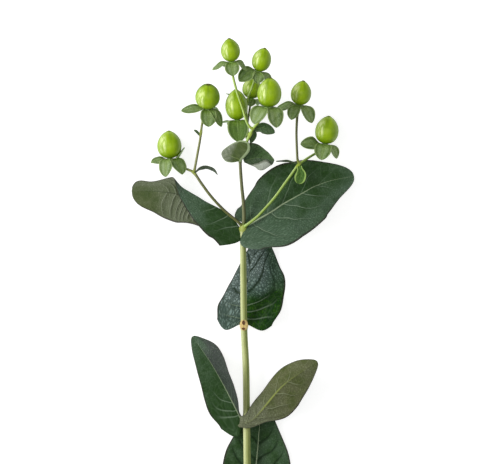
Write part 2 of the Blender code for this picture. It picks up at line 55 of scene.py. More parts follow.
# A midrib tapers evenly, to nothing at this share of the blade's length, past its tip.
RIB_TAPER = 1.15
Colour = tuple[float, float, float]
Point = tuple[float, float, float]
Profile = tuple[tuple[float, float], ...]
Number = Union["Value", float]


# ---------------------------------------------------------------- node trees


class Value:
    """A socket of a node tree; arithmetic on it adds Math nodes."""

    def __init__(self, graph: "Graph", socket: bpy.types.NodeSocket) -> None:
        """Wrap one output socket of a graph's tree."""
        self.graph = graph
        self.socket = socket

    def math(self, operation: str, *others: Number) -> "Value":
        """Add a Math node whose first input is this value.

        Args:
            operation: the Math node's operation.
            others: the values of its other inputs.

        Returns:
            The node's result.
        """
        return self.graph.math(operation, self, *others)

    def __add__(self, other: Number) -> "Value":
        """Add another value."""
        return self.math("ADD", other)

    def __radd__(self, other: Number) -> "Value":
        """Add to a plain number."""
        return self.math("ADD", other)

    def __sub__(self, other: Number) -> "Value":
        """Subtract another value."""
        return self.math("SUBTRACT", other)

    def __rsub__(self, other: Number) -> "Value":
        """Subtract from a plain number."""
        return self.graph.math("SUBTRACT", other, self)

    def __mul__(self, other: Number) -> "Value":
        """Multiply by another value."""
        return self.math("MULTIPLY", other)

    def __rmul__(self, other: Number) -> "Value":
        """Multiply a plain number."""
        return self.math("MULTIPLY", other)

    def __truediv__(self, other: Number) -> "Value":
        """Divide by another value."""
        return self.math("DIVIDE", other)

    def __rtruediv__(self, other: Number) -> "Value":
        """Divide a plain number."""
        return self.graph.math("DIVIDE", other, self)

    def __pow__(self, other: Number) -> "Value":
        """Raise to a power."""
        return self.math("POWER", other)

    def rise(self, low: float, high: float) -> "Value":
        """Return 0 below low, 1 above high and a smooth step between them."""
        settings = {"interpolation_type": "SMOOTHSTEP"}
        return self.graph.node("ShaderNodeMapRange", settings, {0: self, 1: low, 2: high})

    def fall(self, low: float, high: float) -> "Value":
        """Return 1 below low, 0 above high and a smooth step between them."""
        return 1.0 - self.rise(low, high)

    def parts(self) -> tuple["Value", "Value", "Value"]:
        """Return the X, Y and Z of this vector."""
        node = self.graph.node("ShaderNodeSeparateXYZ", inputs={0: self}).socket.node
        return tuple(Value(self.graph, socket) for socket in node.outputs)


class Graph:
    """Adds nodes to one shader tree or geometry tree."""

    def __init__(self, tree: bpy.types.NodeTree) -> None:
        """Keep the tree that nodes are added to."""
        self.tree = tree

    def node(self, kind: str, settings: dict[str, Any] | None = None,
             inputs: dict[int | str, Any] | None = None, output: int | str = 0) -> Value:
        """Add a node, set it up and feed its inputs.

        Args:
            kind: the node's type.
            settings: its own settings, set before its inputs.
            inputs: a number, colour, data block or Value for each input, by place or name.
            output: the place or name of the output to return.

        Returns:
            The node's output.
        """
        made = self.tree.nodes.new(kind)
        for name, value in (settings or {}).items():
            setattr(made, name, value)
        for key, value in (inputs or {}).items():
            if isinstance(value, Value):
                self.tree.links.new(value.socket, made.inputs[key])
            else:
                made.inputs[key].default_value = value
        return Value(self, made.outputs[output])

    def math(self, operation: str, *values: Number) -> Value:
        """Add a Math node on values and return its result."""
        return self.node("ShaderNodeMath", {"operation": operation}, dict(enumerate(values)))

    def combine(self, x: Number, y: Number, z: Number) -> Value:
        """Return a vector made from three values."""
        return self.node("ShaderNodeCombineXYZ", inputs={0: x, 1: y, 2: z})


class ShaderGraph(Graph):
    """Builds one material round its Principled BSDF."""

    def __init__(self, name: str) -> None:
        """Make the material and find its shader.

        Args:
            name: the material's name.
        """
        self.material = bpy.data.materials.new(name)
        self.material.use_nodes = True
        super().__init__(self.material.node_tree)
        self.shader = self.tree.nodes["Principled BSDF"]

    def attribute(self, name: str) -> tuple[Value, Value, Value]:
        """Return the three parts of one of the mesh's own vector attributes."""
        return self.node("ShaderNodeAttribute", {"attribute_name": name}, output="Vector").parts()

    def place(self) -> Value:
        """Return the object coordinates."""
        return self.node("ShaderNodeTexCoord", output="Object")

    def noise(self, vector: Value, scale: float, detail: float = 3.0,
              roughness: float = 0.55) -> Value:
        """Return a cloudy noise between 0 and 1.

        Args:
            vector: where it is read.
            scale: how many clouds there are in a unit of length.
            detail: how many finer layers it has.
            roughness: how strong the finer layers are.

        Returns:
            The noise.
        """
        inputs = {"Vector": vector, "Scale": scale, "Detail": detail, "Roughness": roughness}
        return self.node("ShaderNodeTexNoise", inputs=inputs, output="Fac")

    def cells(self, vector: Value, scale: float) -> Value:
        """Return the distance to the edge of the nearest of many small cells."""
        settings = {"feature": "DISTANCE_TO_EDGE"}
        return self.node("ShaderNodeTexVoronoi", settings, {"Vector": vector, "Scale": scale})

    def mix(self, factor: Number, first: Colour | Value, second: Colour | Value) -> Value:
        """Blend two colours.

        Args:
            factor: how much of the second there is, from 0 to 1.
            first: the colour where factor is 0.
            second: the colour where factor is 1.

        Returns:
            The blended colour.
        """
        colours = [c if isinstance(c, Value) else (*c, 1.0) for c in (first, second)]
        inputs = {0: factor, 6: colours[0], 7: colours[1]}
        return self.node("ShaderNodeMix", {"data_type": "RGBA"}, inputs, output=2)

    def bump(self, height: Value, depth_mm: float, strength: float = 1.0) -> None:
        """Feed the shader's normal from a height between 0 and 1."""
        inputs = {"Strength": strength, "Distance": depth_mm * MM, "Height": height}
        self.feed("Normal", self.node("ShaderNodeBump", inputs=inputs))

    def feed(self, name: str, value: Number | Colour) -> None:
        """Set or link one of the shader's inputs.

        Args:
            name: the input's name.
            value: a plain number or colour, or a Value that changes over the surface.
        """
        socket = self.shader.inputs[name]
        if isinstance(value, Value):
            self.tree.links.new(value.socket, socket)
        elif isinstance(value, tuple) and socket.type == "RGBA":
            socket.default_value = (*value, 1.0)
        else:
            socket.default_value = value


class GrowthGraph(Graph):
    """A geometry tree with named inputs, which grows a mesh on a host object."""

    def __init__(self, name: str, sizes: dict[str, str]) -> None:
        """Make the tree.

        Args:
            name: the tree's name.
            sizes: its inputs beside the geometry, each with its socket type.
        """
        super().__init__(bpy.data.node_groups.new(name, "GeometryNodeTree"))
        self.sockets = {}
        faces = self.tree.interface
        faces.new_socket(name="Geometry", in_out="INPUT", socket_type="NodeSocketGeometry")
        for size, kind in sizes.items():
            self.sockets[size] = faces.new_socket(name=size, in_out="INPUT", socket_type=kind)
        faces.new_socket(name="Geometry", in_out="OUTPUT", socket_type="NodeSocketGeometry")
        self.entry = self.tree.nodes.new("NodeGroupInput")

    def given(self, name: str) -> Value:
        """Return one of the tree's inputs."""
        return Value(self, self.entry.outputs[name])

    def finish(self, geometry: Value) -> None:
        """End the tree: real geometry, smooth, in the given material.

        Args:
            geometry: what the tree has grown.
        """
        smooth = self.node("GeometryNodeSetShadeSmooth", inputs={0: geometry})
        real = self.node("GeometryNodeRealizeInstances", inputs={0: smooth})
        dressed = self.node("GeometryNodeSetMaterial", inputs={0: real, 2: self.given("Material")})
        leave = self.tree.nodes.new("NodeGroupOutput")
        self.tree.links.new(dressed.socket, leave.inputs[0])

    def grow(self, host: bpy.types.Mesh, values: dict[str, Any]) -> bpy.types.Mesh:
        """Run the tree on a host mesh.

        Args:
            host: the mesh that the tree starts from.
            values: a value for each of the tree's named inputs.

        Returns:
            The result as a plain mesh.
        """
        carrier = bpy.data.objects.new("carrier", host)
        bpy.context.scene.collection.objects.link(carrier)
        modifier = carrier.modifiers.new("growth", "NODES")
        modifier.node_group = self.tree
        for name, value in values.items():
            modifier[self.sockets[name].identifier] = value
        evaluated = carrier.evaluated_get(bpy.context.evaluated_depsgraph_get())
        mesh = bpy.data.meshes.new_from_object(evaluated)
        bpy.data.objects.remove(carrier, do_unlink=True)
        bpy.data.meshes.remove(host)
        return mesh


# ------------------------------------------------------------------ finishes


@dataclass(frozen=True)
class LeafFinish:
    """One face of a leaf or bract: its greens, its wax bloom with painted sheen, its veins and
    their relief.

    deep and fresh are its two greens, bloom its wax, partly real bloom and partly painted sheen,
    sheen a painted grey sheen where haze is highest, shade the painted shade in its grooves and
    between its beads, and vein, rib and margin its lines, vein also its painted glints.  relief is
    how far the veins stand up or, below 0, sink in.  Each _show is a strength from 0 to 1.
    vein_reach and margin_from are shares of the half's width, vein_end and vein_turn shares of the
    length: the laterals fade out over the first and change from pale lines to dark grooves of
    painted shade over the second.
    base_rim is the share of the length at the base that is rimmed as the margin is.
    rib_width and grain_depth are in millimetres, and each _scale is so many to a millimetre.
    """

    name: str
    deep: Colour
    fresh: Colour
    bloom: Colour
    sheen: Colour
    shade: Colour
    vein: Colour
    rib: Colour
    margin: Colour
    roughness: float
    relief: float
    vein_show: float = 0.6
    vein_reach: tuple[float, float] = (0.35, 0.95)
    vein_end: tuple[float, float] = (0.6, 0.88)
    vein_turn: tuple[float, float] = (2.0, 3.0)
    net_show: float = 0.07
    margin_from: tuple[float, float] = (0.94, 0.985)
    rib_width: float = 0.36
    bead_shade_show: float = 0.4
    bead_scale: float = 0.95
    cloud_scale: float = 0.13
    glint_show: float = 0.35
    speck_scale: float = 1.3
    veinlet_scale: float = 0.34
    wander_scale: float = 0.09
    gloss: float = 0.2
    base_rim: float = 0.0
    grain_depth: float = 0.3

    def material(self) -> bpy.types.Material:
        """Build the material, whose veins follow the blade's own attributes.

        Returns:
            The material.
        """
        graph = ShaderGraph(self.name)
        along, aside, rib_tone = graph.attribute("flat")
        position, share, wax_and_sheen = graph.attribute("share")
        order, spacing, strength = graph.attribute("vein")
        flat = graph.combine(along, aside, 0.0)
        clouds = graph.noise(flat, self.cloud_scale, 4.0, 0.6)
        specks = graph.noise(flat, self.speck_scale, 3.0, 0.7)
        wander = graph.noise(flat, self.wander_scale, 1.0) * 0.5 - 0.25
        bead = graph.cells(flat, self.bead_scale).rise(0.03, 0.32)
        veinlet = graph.cells(flat, self.veinlet_scale).fall(0.0, 0.1)
        # The veins: how far each place lies from the nearest lateral, the midrib and the rim.
        line = ((order + wander).math("FRACT") - 0.5).math("ABSOLUTE") * spacing
        near, far = self.vein_reach
        strength = strength * position.fall(*self.vein_end)
        lateral = line.fall(0.1, 0.48) * share.fall(near, far) * strength
        trough = line.fall(0.15, 1.5) * share.fall(0.55, 1.0) * strength
        tapered = aside.math("ABSOLUTE") / (RIB_TAPER - position)
        rib = tapered.fall(self.rib_width * 0.5, self.rib_width * 1.6)
        edge = share.rise(*self.margin_from)
        if self.base_rim:
            edge = edge.math("MAXIMUM", position.fall(0.6 * self.base_rim, self.base_rim))
        # The wax bloom and painted sheen, patchy where thin, and a painted grey sheen where
        # thickest.
        bloom_and_sheen = (wax_and_sheen + clouds * 1.1 - 0.55).rise(0.0, 1.0)
        painted_sheen = (wax_and_sheen + specks * 0.9 - 1.35).rise(0.0, 0.8)
        # How far the laterals have turned from pale lines into dark grooves of painted shade.
        grooved = position.rise(*self.vein_turn)
        colour = graph.mix(clouds.rise(0.38, 0.62), self.deep, self.fresh)
        colour = graph.mix(bloom_and_sheen, colour, self.bloom)
        colour = graph.mix(painted_sheen, colour, self.sheen)
        # Painted shade in the hollows between the beads, and painted glints on the beads.
        colour = graph.mix((1.0 - bead) * self.bead_shade_show, colour, self.shade)
        glint = bead * specks.rise(0.5, 0.68) * (0.1 + bloom_and_sheen)
        colour = graph.mix(glint * self.glint_show, colour, self.vein)
        # Painted shade along the troughs beside the laterals.
        colour = graph.mix(trough * (0.3 + grooved * 0.5), colour, self.shade)
        colour = graph.mix(veinlet * self.net_show, colour, self.vein)
        # Laterals past vein_turn take the painted shade of a groove.
        vein = graph.mix(grooved, self.vein, self.shade)
        colour = graph.mix(lateral * self.vein_show, colour, vein)
        colour = graph.mix(edge * 0.9, colour, self.margin)
        colour = graph.mix(rib * rib_tone, colour, self.rib)
        graph.feed("Base Color", colour)
        graph.feed("Roughness", self.roughness + 0.25 + clouds * 0.1 - bloom_and_sheen * 0.35)
        relief = (lateral * 0.6 + trough * 0.6 + veinlet * 0.3) * self.relief
        grain = (bead * 0.55 + specks * 0.25) * (0.35 + bloom_and_sheen * 0.65)
        graph.bump(relief + grain, self.grain_depth, 0.9)
        graph.feed("Specular IOR Level", self.gloss)
        return graph.material


@dataclass(frozen=True)
class SepalFinish:
    """The green of the sepals, with fine parallel veins, a pale margin, painted shade between the
    beads and a painted highlight across the middle.
    """

    name: str
    deep: Colour
    pale: Colour
    shade: Colour
    vein: Colour
    margin: Colour
    foot: Colour
    sheen: Colour
    roughness: float
    gloss: float = 0.22
    cloud_scale: float = 0.3
    speck_scale: float = 2.4
    bead_scale: float = 1.4
    grain_depth: float = 0.25

    def material(self) -> bpy.types.Material:
        """Build the material, whose veins follow each sepal's own attributes.

        Returns:
            The material.
        """
        graph = ShaderGraph(self.name)
        along, aside, _ = graph.attribute("flat")
        position, share, tone = graph.attribute("share")
        order, spacing, strength = graph.attribute("vein")
        flat = graph.combine(along, aside, tone * 40.0)
        clouds = graph.noise(flat, self.cloud_scale, 4.0, 0.65)
        specks = graph.noise(flat, self.speck_scale, 3.0, 0.6)
        bead = graph.cells(flat, self.bead_scale).rise(0.03, 0.3)
        line = ((order + clouds * 0.4).math("FRACT") - 0.5).math("ABSOLUTE") * spacing
        lateral = line.fall(0.05, 0.24) * strength * share.fall(0.6, 1.0)
        middle = aside.math("ABSOLUTE").fall(0.08, 0.4) * position.fall(0.5, 0.95)
        colour = graph.mix((tone + clouds * 1.9 - 0.93).rise(0.0, 1.0), self.deep, self.pale)
        # Painted shade in the hollows between the beads.
        colour = graph.mix((1.0 - bead) * 0.3, colour, self.shade)
        colour = graph.mix(clouds.fall(0.3, 0.5) * 0.6, colour, self.shade)
        colour = graph.mix(position.fall(0.05, 0.55) * 0.7, colour, self.foot)
        colour = graph.mix(lateral * 0.4 + middle * 0.4, colour, self.vein)
        # A painted highlight across the middle, stronger on sepals of higher tone.
        sheen = share.rise(0.05, 0.4) * share.fall(0.45, 0.75) * position.rise(0.25, 0.6)
        colour = graph.mix(sheen * specks.rise(0.35, 0.6) * (0.2 + tone * 0.5), colour, self.sheen)
        colour = graph.mix(share.rise(0.5, 0.85) * 0.55, colour, self.shade)
        colour = graph.mix(share.rise(0.86, 0.94) * 0.75, colour, self.margin)
        graph.feed("Base Color", colour)
        graph.feed("Roughness", self.roughness + specks * 0.12 - 0.06)
        relief = middle * 0.5 - lateral * 0.3 + specks * 0.25 + bead * 0.4
        graph.bump(relief, self.grain_depth, 0.9)
        graph.feed("Specular IOR Level", self.gloss)
        return graph.material


@dataclass(frozen=True)
class StemFinish:
    """The skin of a stem or stalk: a pale side and a dark side, partly its own two tones and
    partly painted light on the left and painted shade on the right, streaks and bright nodes.

    fibre_scale is how fine its long fibres are from side to side, and fibre_stretch how much of
    that they keep along the stem.
    """

    name: str
    pale: Colour
    dark: Colour
    streak: Colour
    node: Colour
    roughness: float
    gloss: float = 0.35
    fibre_scale: float = 2.6
    fibre_stretch: float = 0.1
    cloud_scale: float = 0.1
    speck_scale: float = 2.2
    grain_depth: float = 0.15

    def material(self) -> bpy.types.Material:
        """Build the material, whose streaks follow the stem.

        Returns:
            The material.
        """
        graph = ShaderGraph(self.name)
        along, around, node = graph.attribute("flat")
        drawn = graph.combine(along * self.fibre_stretch, around * self.fibre_scale, 0.0)
        fibres = graph.noise(drawn, 1.0, 4.0, 0.65)
        clouds = graph.noise(graph.combine(along, around, 3.0), self.cloud_scale, 3.0, 0.5)
        specks = graph.noise(graph.combine(along, around, 7.0), self.speck_scale, 2.0, 0.5)
        # Painted light on the left, painted shade on the right and a painted rim light at the far
        # right.
        side = around + clouds * 0.7 - 0.35
        colour = graph.mix(side.rise(-0.8, -0.05), self.pale, self.streak)
        colour = graph.mix(side.rise(0.1, 0.5), colour, self.dark)
        colour = graph.mix(around.rise(0.62, 0.9) * 0.6, colour, self.streak)
        colour = graph.mix(fibres.rise(0.5, 0.72) * 0.6, colour, self.streak)
        colour = graph.mix(fibres.fall(0.3, 0.45) * 0.4, colour, self.dark)
        colour = graph.mix(node.rise(0.1, 0.8), colour, self.node)
        graph.feed("Base Color", colour)
        graph.feed("Roughness", self.roughness + fibres * 0.14 - 0.07)
        graph.bump(fibres * 0.7 + specks * 0.3, self.grain_depth, 0.7)
        graph.feed("Specular IOR Level", self.gloss)
        return graph.material


@dataclass(frozen=True)
class SpotFinish:
    """A small plain spot, such as a leaf scar or pith, mottled between two colours."""

    name: str
    first: Colour
    second: Colour
    roughness: float
    grain_scale: float = 2200.0
    grain_depth: float = 0.15

    def material(self) -> bpy.types.Material:
        """Build the material.

        Returns:
            The material.
        """
        graph = ShaderGraph(self.name)
        grain = graph.noise(graph.place(), self.grain_scale, 4.0, 0.6)
        graph.feed("Base Color", graph.mix(grain.rise(0.35, 0.65), self.first, self.second))
        graph.feed("Roughness", self.roughness + grain * 0.1)
        graph.bump(grain, self.grain_depth, 0.7)
        return graph.material


@dataclass(frozen=True)
class BerryFinish:
    """The glossy skin of a berry, streaked from foot to tip, with painted light on its left side
    and painted shade to the right and underneath.
    """

    name: str
    skin: Colour
    pale: Colour
    lit: Colour
    foot: Colour
    rim: Colour
    tip: Colour
    tint: Colour
    roughness: float
    gloss: float
    streak_scale: float = 1.6
    cloud_scale: float = 240.0
    dot_scale: float = 1500.0
    grain_depth: float = 0.14

    def material(self) -> bpy.types.Material:
        """Build the material, whose colour changes from foot to tip and from side to side.

        Returns:
            The material.
        """
        graph = ShaderGraph(self.name)
        height, seam, beak = graph.attribute("ripeness")
        across, front, _ = graph.attribute("round")
        place = graph.place()
        stretched = graph.combine(across * 3.2, front * 3.2, height * 0.9)
        streaks = graph.noise(stretched, self.streak_scale, 4.0, 0.6)
        clouds = graph.noise(place, self.cloud_scale, 3.0, 0.5)
        dots = graph.noise(place, self.dot_scale, 2.0, 0.5)
        colour = graph.mix(streaks.rise(0.42, 0.7) * 0.6, self.skin, self.pale)
        # A painted band of light on the left side, broken into streaks.
        lit = across.rise(0.15, 0.45) * across.fall(0.62, 0.97) * height.rise(0.12, 0.4)
        lit = lit * height.fall(0.7, 0.97)
        colour = graph.mix(lit * (0.05 + streaks.rise(0.4, 0.58) * 0.7), colour, self.lit)
        # Darker in clouds and at the foot, and painted shade to the right, underneath, at the rim
        # and in the furrows.
        colour = graph.mix(clouds.rise(0.48, 0.8) * 0.4, colour, self.foot)
        colour = graph.mix(height.fall(0.02, 0.28) * 0.7, colour, self.foot)
        colour = graph.mix(across.fall(-0.9, -0.15) * 0.8, colour, self.foot)
        colour = graph.mix(front.fall(-0.05, 0.4) * 0.75, colour, self.foot)
        colour = graph.mix(front.fall(-0.25, 0.2) * 0.7, colour, self.rim)
        colour = graph.mix(seam * height.rise(0.45, 0.85) * 0.6, colour, self.foot)
        colour = graph.mix(dots.rise(0.6, 0.74) * 0.3, colour, self.pale)
        colour = graph.mix(beak, colour, self.tip)
        graph.feed("Base Color", colour)
        matt = beak * 0.3 + front.fall(0.0, 0.5) * 0.4
        graph.feed("Roughness", self.roughness + dots * 0.1 + matt)
        graph.feed("Specular IOR Level", self.gloss)
        graph.feed("Specular Tint", self.tint)
        graph.bump(dots * 0.4 + streaks * 0.6, self.grain_depth, 0.6)
        return graph.material


@dataclass(frozen=True)
class SurfaceFinish:
    """The pale surface that the stem lies on, a little lit of its own."""

    name: str
    colour: Colour
    roughness: float
    glow: float
    gloss: float = 0.2

    def material(self) -> bpy.types.Material:
        """Build the material.

        Returns:
            The material.
        """
        graph = ShaderGraph(self.name)
        graph.feed("Base Color", self.colour)
        graph.feed("Roughness", self.roughness)
        graph.feed("Specular IOR Level", self.gloss)
        graph.feed("Emission Color", (1.0, 1.0, 1.0))
        graph.feed("Emission Strength", self.glow)
        return graph.material


Finish = Union[LeafFinish, SepalFinish, StemFinish, SpotFinish, BerryFinish, SurfaceFinish]
WARDROBE: dict[str, bpy.types.Material] = {}


def dress(finish: Finish) -> bpy.types.Material:
    """Make a finish's material once.

    Args:
        finish: the finish.

    Returns:
        Its material.
    """
    if finish.name not in WARDROBE:
        WARDROBE[finish.name] = finish.material()
    return WARDROBE[finish.name]


LEAF_UPPER = LeafFinish(
    "leaf_upper", deep=(0.014, 0.050, 0.004), fresh=(0.030, 0.072, 0.020),
    bloom=(0.076, 0.132, 0.078), sheen=(0.110, 0.175, 0.115), shade=(0.007, 0.026, 0.005),
    vein=(0.20, 0.28, 0.18), rib=(0.36, 0.44, 0.27), margin=(0.030, 0.028, 0.020), roughness=0.45,
    relief=-1.0)
LEAF_QUILTED = LeafFinish(
    "leaf_quilted", deep=(0.005, 0.042, 0.0005), fresh=(0.024, 0.086, 0.001),
    bloom=(0.144, 0.220, 0.190), sheen=(0.330, 0.390, 0.405), shade=(0.006, 0.022, 0.007),
    vein=(0.22, 0.29, 0.20), rib=(0.18, 0.22, 0.16), margin=(0.022, 0.026, 0.014), roughness=0.42,
    relief=-1.0, vein_end=(0.75, 0.95), vein_turn=(0.27, 0.38), bead_shade_show=0.7, bead_scale=0.74,
    vein_show=0.5, glint_show=0.72, gloss=0.08)
LEAF_UNDER = LeafFinish(
    "leaf_under", deep=(0.080, 0.105, 0.024), fresh=(0.125, 0.135, 0.052),
    bloom=(0.160, 0.175, 0.105), sheen=(0.200, 0.210, 0.150), shade=(0.048, 0.058, 0.018),
    vein=(0.24, 0.27, 0.15), rib=(0.24, 0.28, 0.07), margin=(0.055, 0.045, 0.040), roughness=0.6,
    relief=1.0, vein_show=0.7, bead_shade_show=0.5, rib_width=0.36, net_show=0.14)
# Its dark rib colour is painted shade in the sunken crease along the midrib.
LEAF_RIBBED = LeafFinish(
    "leaf_ribbed", deep=(0.055, 0.085, 0.022), fresh=(0.085, 0.112, 0.036),
    bloom=(0.130, 0.155, 0.090), sheen=(0.180, 0.200, 0.140), shade=(0.035, 0.048, 0.014),
    vein=(0.26, 0.29, 0.20), rib=(0.03, 0.045, 0.02), margin=(0.050, 0.042, 0.036), roughness=0.5,
    relief=1.0, vein_show=0.6, vein_reach=(0.75, 1.0), vein_end=(0.66, 0.82), bead_shade_show=0.3)
LEAF_SHADED = replace(LEAF_UPPER, name="leaf_shaded", deep=(0.021, 0.063, 0.010),
                      fresh=(0.041, 0.090, 0.032), vein_turn=(-1.0, -0.5),
                      vein_reach=(0.6, 1.0), bead_shade_show=0.45)
# A dark grey painted sheen, for a steep half that the light grazes.
LEAF_GREY_SHEEN = replace(LEAF_UPPER, name="leaf_grey_sheen", sheen=(0.044, 0.050, 0.048),
                      vein_end=(0.2, 0.42))
BRACT_UPPER = LeafFinish(
    "bract_upper", deep=(0.045, 0.114, 0.021), fresh=(0.090, 0.168, 0.056),
    bloom=(0.095, 0.135, 0.085), sheen=(0.150, 0.170, 0.140), shade=(0.012, 0.034, 0.006),
    vein=(0.14, 0.22, 0.10), rib=(0.14, 0.22, 0.07), margin=(0.080, 0.100, 0.055), roughness=0.45,
    relief=-0.6, vein_show=0.25, margin_from=(0.88, 0.97), rib_width=0.16)
BRACT_DUSKY = replace(BRACT_UPPER, name="bract_dusky", deep=(0.052, 0.066, 0.042),
                      fresh=(0.095, 0.108, 0.080))
BRACT_UNDER = LeafFinish(
    "bract_under", deep=(0.058, 0.092, 0.014), fresh=(0.090, 0.125, 0.038),
    bloom=(0.270, 0.295, 0.225), sheen=(0.340, 0.370, 0.290), shade=(0.050, 0.080, 0.025),
    vein=(0.28, 0.33, 0.19), rib=(0.22, 0.30, 0.09), margin=(0.10, 0.12, 0.07), roughness=0.5,
    relief=0.6, vein_show=0.5, vein_turn=(-1.0, -0.5), vein_end=(0.8, 1.0),
    margin_from=(0.88, 0.97), rib_width=0.16)
BRACT_PALE_RIM = replace(BRACT_UNDER, name="bract_pale_rim", margin=(0.32, 0.41, 0.22),
                         margin_from=(0.9, 0.96), base_rim=0.06)
BRACT_FLAP = LeafFinish(
    "bract_flap", deep=(0.350, 0.400, 0.290), fresh=(0.430, 0.480, 0.390),
    bloom=(0.500, 0.540, 0.470), sheen=(0.560, 0.590, 0.540), shade=(0.20, 0.23, 0.16),
    vein=(0.55, 0.58, 0.50), rib=(0.35, 0.40, 0.26), margin=(0.15, 0.17, 0.12), roughness=0.5,
    relief=0.6, vein_show=0.4, margin_from=(0.9, 0.97), rib_width=0.16)
BRACT_RIMMED = LeafFinish(
    "bract_rimmed", deep=(0.040, 0.120, 0.006), fresh=(0.080, 0.180, 0.020),
    bloom=(0.090, 0.170, 0.045), sheen=(0.140, 0.220, 0.090), shade=(0.020, 0.060, 0.004),
    vein=(0.20, 0.34, 0.07), rib=(0.12, 0.24, 0.04), margin=(0.300, 0.450, 0.110), roughness=0.4,
    relief=-0.6, vein_show=0.2, margin_from=(0.66, 0.82), rib_width=0.14)
SEPAL_UPPER = SepalFinish(
    "sepal_upper", deep=(0.085, 0.240, 0.010), pale=(0.420, 0.580, 0.260),
    shade=(0.032, 0.120, 0.005), vein=(0.280, 0.480, 0.110), margin=(0.40, 0.56, 0.21),
    foot=(0.210, 0.380, 0.025), sheen=(0.500, 0.640, 0.420), roughness=0.42)
SEPAL_UNDER = SepalFinish(
    "sepal_under", deep=(0.100, 0.190, 0.025), pale=(0.260, 0.360, 0.120),
    shade=(0.045, 0.090, 0.015), vein=(0.260, 0.370, 0.120), margin=(0.30, 0.39, 0.15),
    foot=(0.180, 0.300, 0.030), sheen=(0.330, 0.430, 0.250), roughness=0.5)
STEM_GREEN = StemFinish(
    "stem_green", pale=(0.540, 0.580, 0.280), dark=(0.150, 0.195, 0.040),
    streak=(0.310, 0.350, 0.110), node=(0.340, 0.400, 0.080), roughness=0.42)
CENTRE_OLIVE = StemFinish(
    "centre_olive", pale=(0.200, 0.215, 0.105), dark=(0.062, 0.070, 0.026),
    streak=(0.115, 0.125, 0.045), node=(0.120, 0.190, 0.012), roughness=0.45)
CENTRE_LIME = StemFinish(
    "centre_lime", pale=(0.470, 0.640, 0.240), dark=(0.150, 0.220, 0.020),
    streak=(0.330, 0.460, 0.070), node=(0.380, 0.500, 0.080), roughness=0.45)
BRANCH_OLIVE = StemFinish(
    "branch_olive", pale=(0.170, 0.192, 0.055), dark=(0.045, 0.046, 0.016),
    streak=(0.102, 0.110, 0.030), node=(0.240, 0.290, 0.045), roughness=0.45)
PEDICEL_OLIVE = StemFinish(
    "pedicel_olive", pale=(0.270, 0.285, 0.125), dark=(0.080, 0.086, 0.034),
    streak=(0.200, 0.220, 0.070), node=(0.240, 0.290, 0.045), roughness=0.45)
BRANCH_GREEN = StemFinish(
    "branch_green", pale=(0.480, 0.620, 0.240), dark=(0.110, 0.190, 0.020),
    streak=(0.280, 0.400, 0.070), node=(0.320, 0.430, 0.045), roughness=0.42)
SCAR_TAN = SpotFinish(
    "scar_tan", first=(0.74, 0.58, 0.24), second=(0.50, 0.34, 0.10), roughness=0.6)
SCAR_BROWN = SpotFinish(
    "scar_brown", first=(0.045, 0.018, 0.005), second=(0.16, 0.06, 0.012), roughness=0.7)
PITH_PALE = SpotFinish(
    "pith_pale", first=(0.50, 0.56, 0.30), second=(0.62, 0.64, 0.42), roughness=0.8)
BERRY_GREEN = BerryFinish(
    "berry_green", skin=(0.262, 0.425, 0.001), pale=(0.350, 0.500, 0.012),
    lit=(0.720, 0.820, 0.380), foot=(0.105, 0.215, 0.001), rim=(0.040, 0.085, 0.001),
    tip=(0.070, 0.065, 0.012), tint=(1.0, 1.0, 0.5), roughness=0.3, gloss=0.6)
SURFACE_WHITE = SurfaceFinish(
    "surface_white", colour=(0.50, 0.50, 0.50), roughness=0.8, glow=0.74)


# ------------------------------------------------------------ curves, paths


def blend(values: Any, position: float) -> Any:
    """Return the smooth curve through evenly spaced values.

    Args:
        values: numbers or vectors.
        position: where to read the curve, from 0 to 1.

    Returns:
        A number or a vector, as the values are.
    """
    spans = len(values) - 1
    scaled = min(max(position, 0.0), 1.0) * spans
    index = min(int(scaled), spans - 1)
    t = scaled - index
    before = values[max(index - 1, 0)]
    start = values[index]
    end = values[index + 1]
    after = values[min(index + 2, spans)]
    rise = (end - before) * 0.5
    fall = (after - start) * 0.5
    bend = (start - end) * 2.0 + rise + fall
    return start + rise * t + ((end - start) * 3.0 - rise * 2.0 - fall) * t ** 2 + bend * t ** 3


def ease(value: float) -> float:
    """Return a value clamped to 0 to 1 and eased at both ends."""
    value = min(max(value, 0.0), 1.0)
    return value * value * (3.0 - 2.0 * value)


def half_thickness(thickness: float, share: float) -> float:
    """Return half a sheet's thickness at a share of its width, thinner towards the margin."""
    return thickness * (1.0 - 0.5 * share ** 3) * 0.5


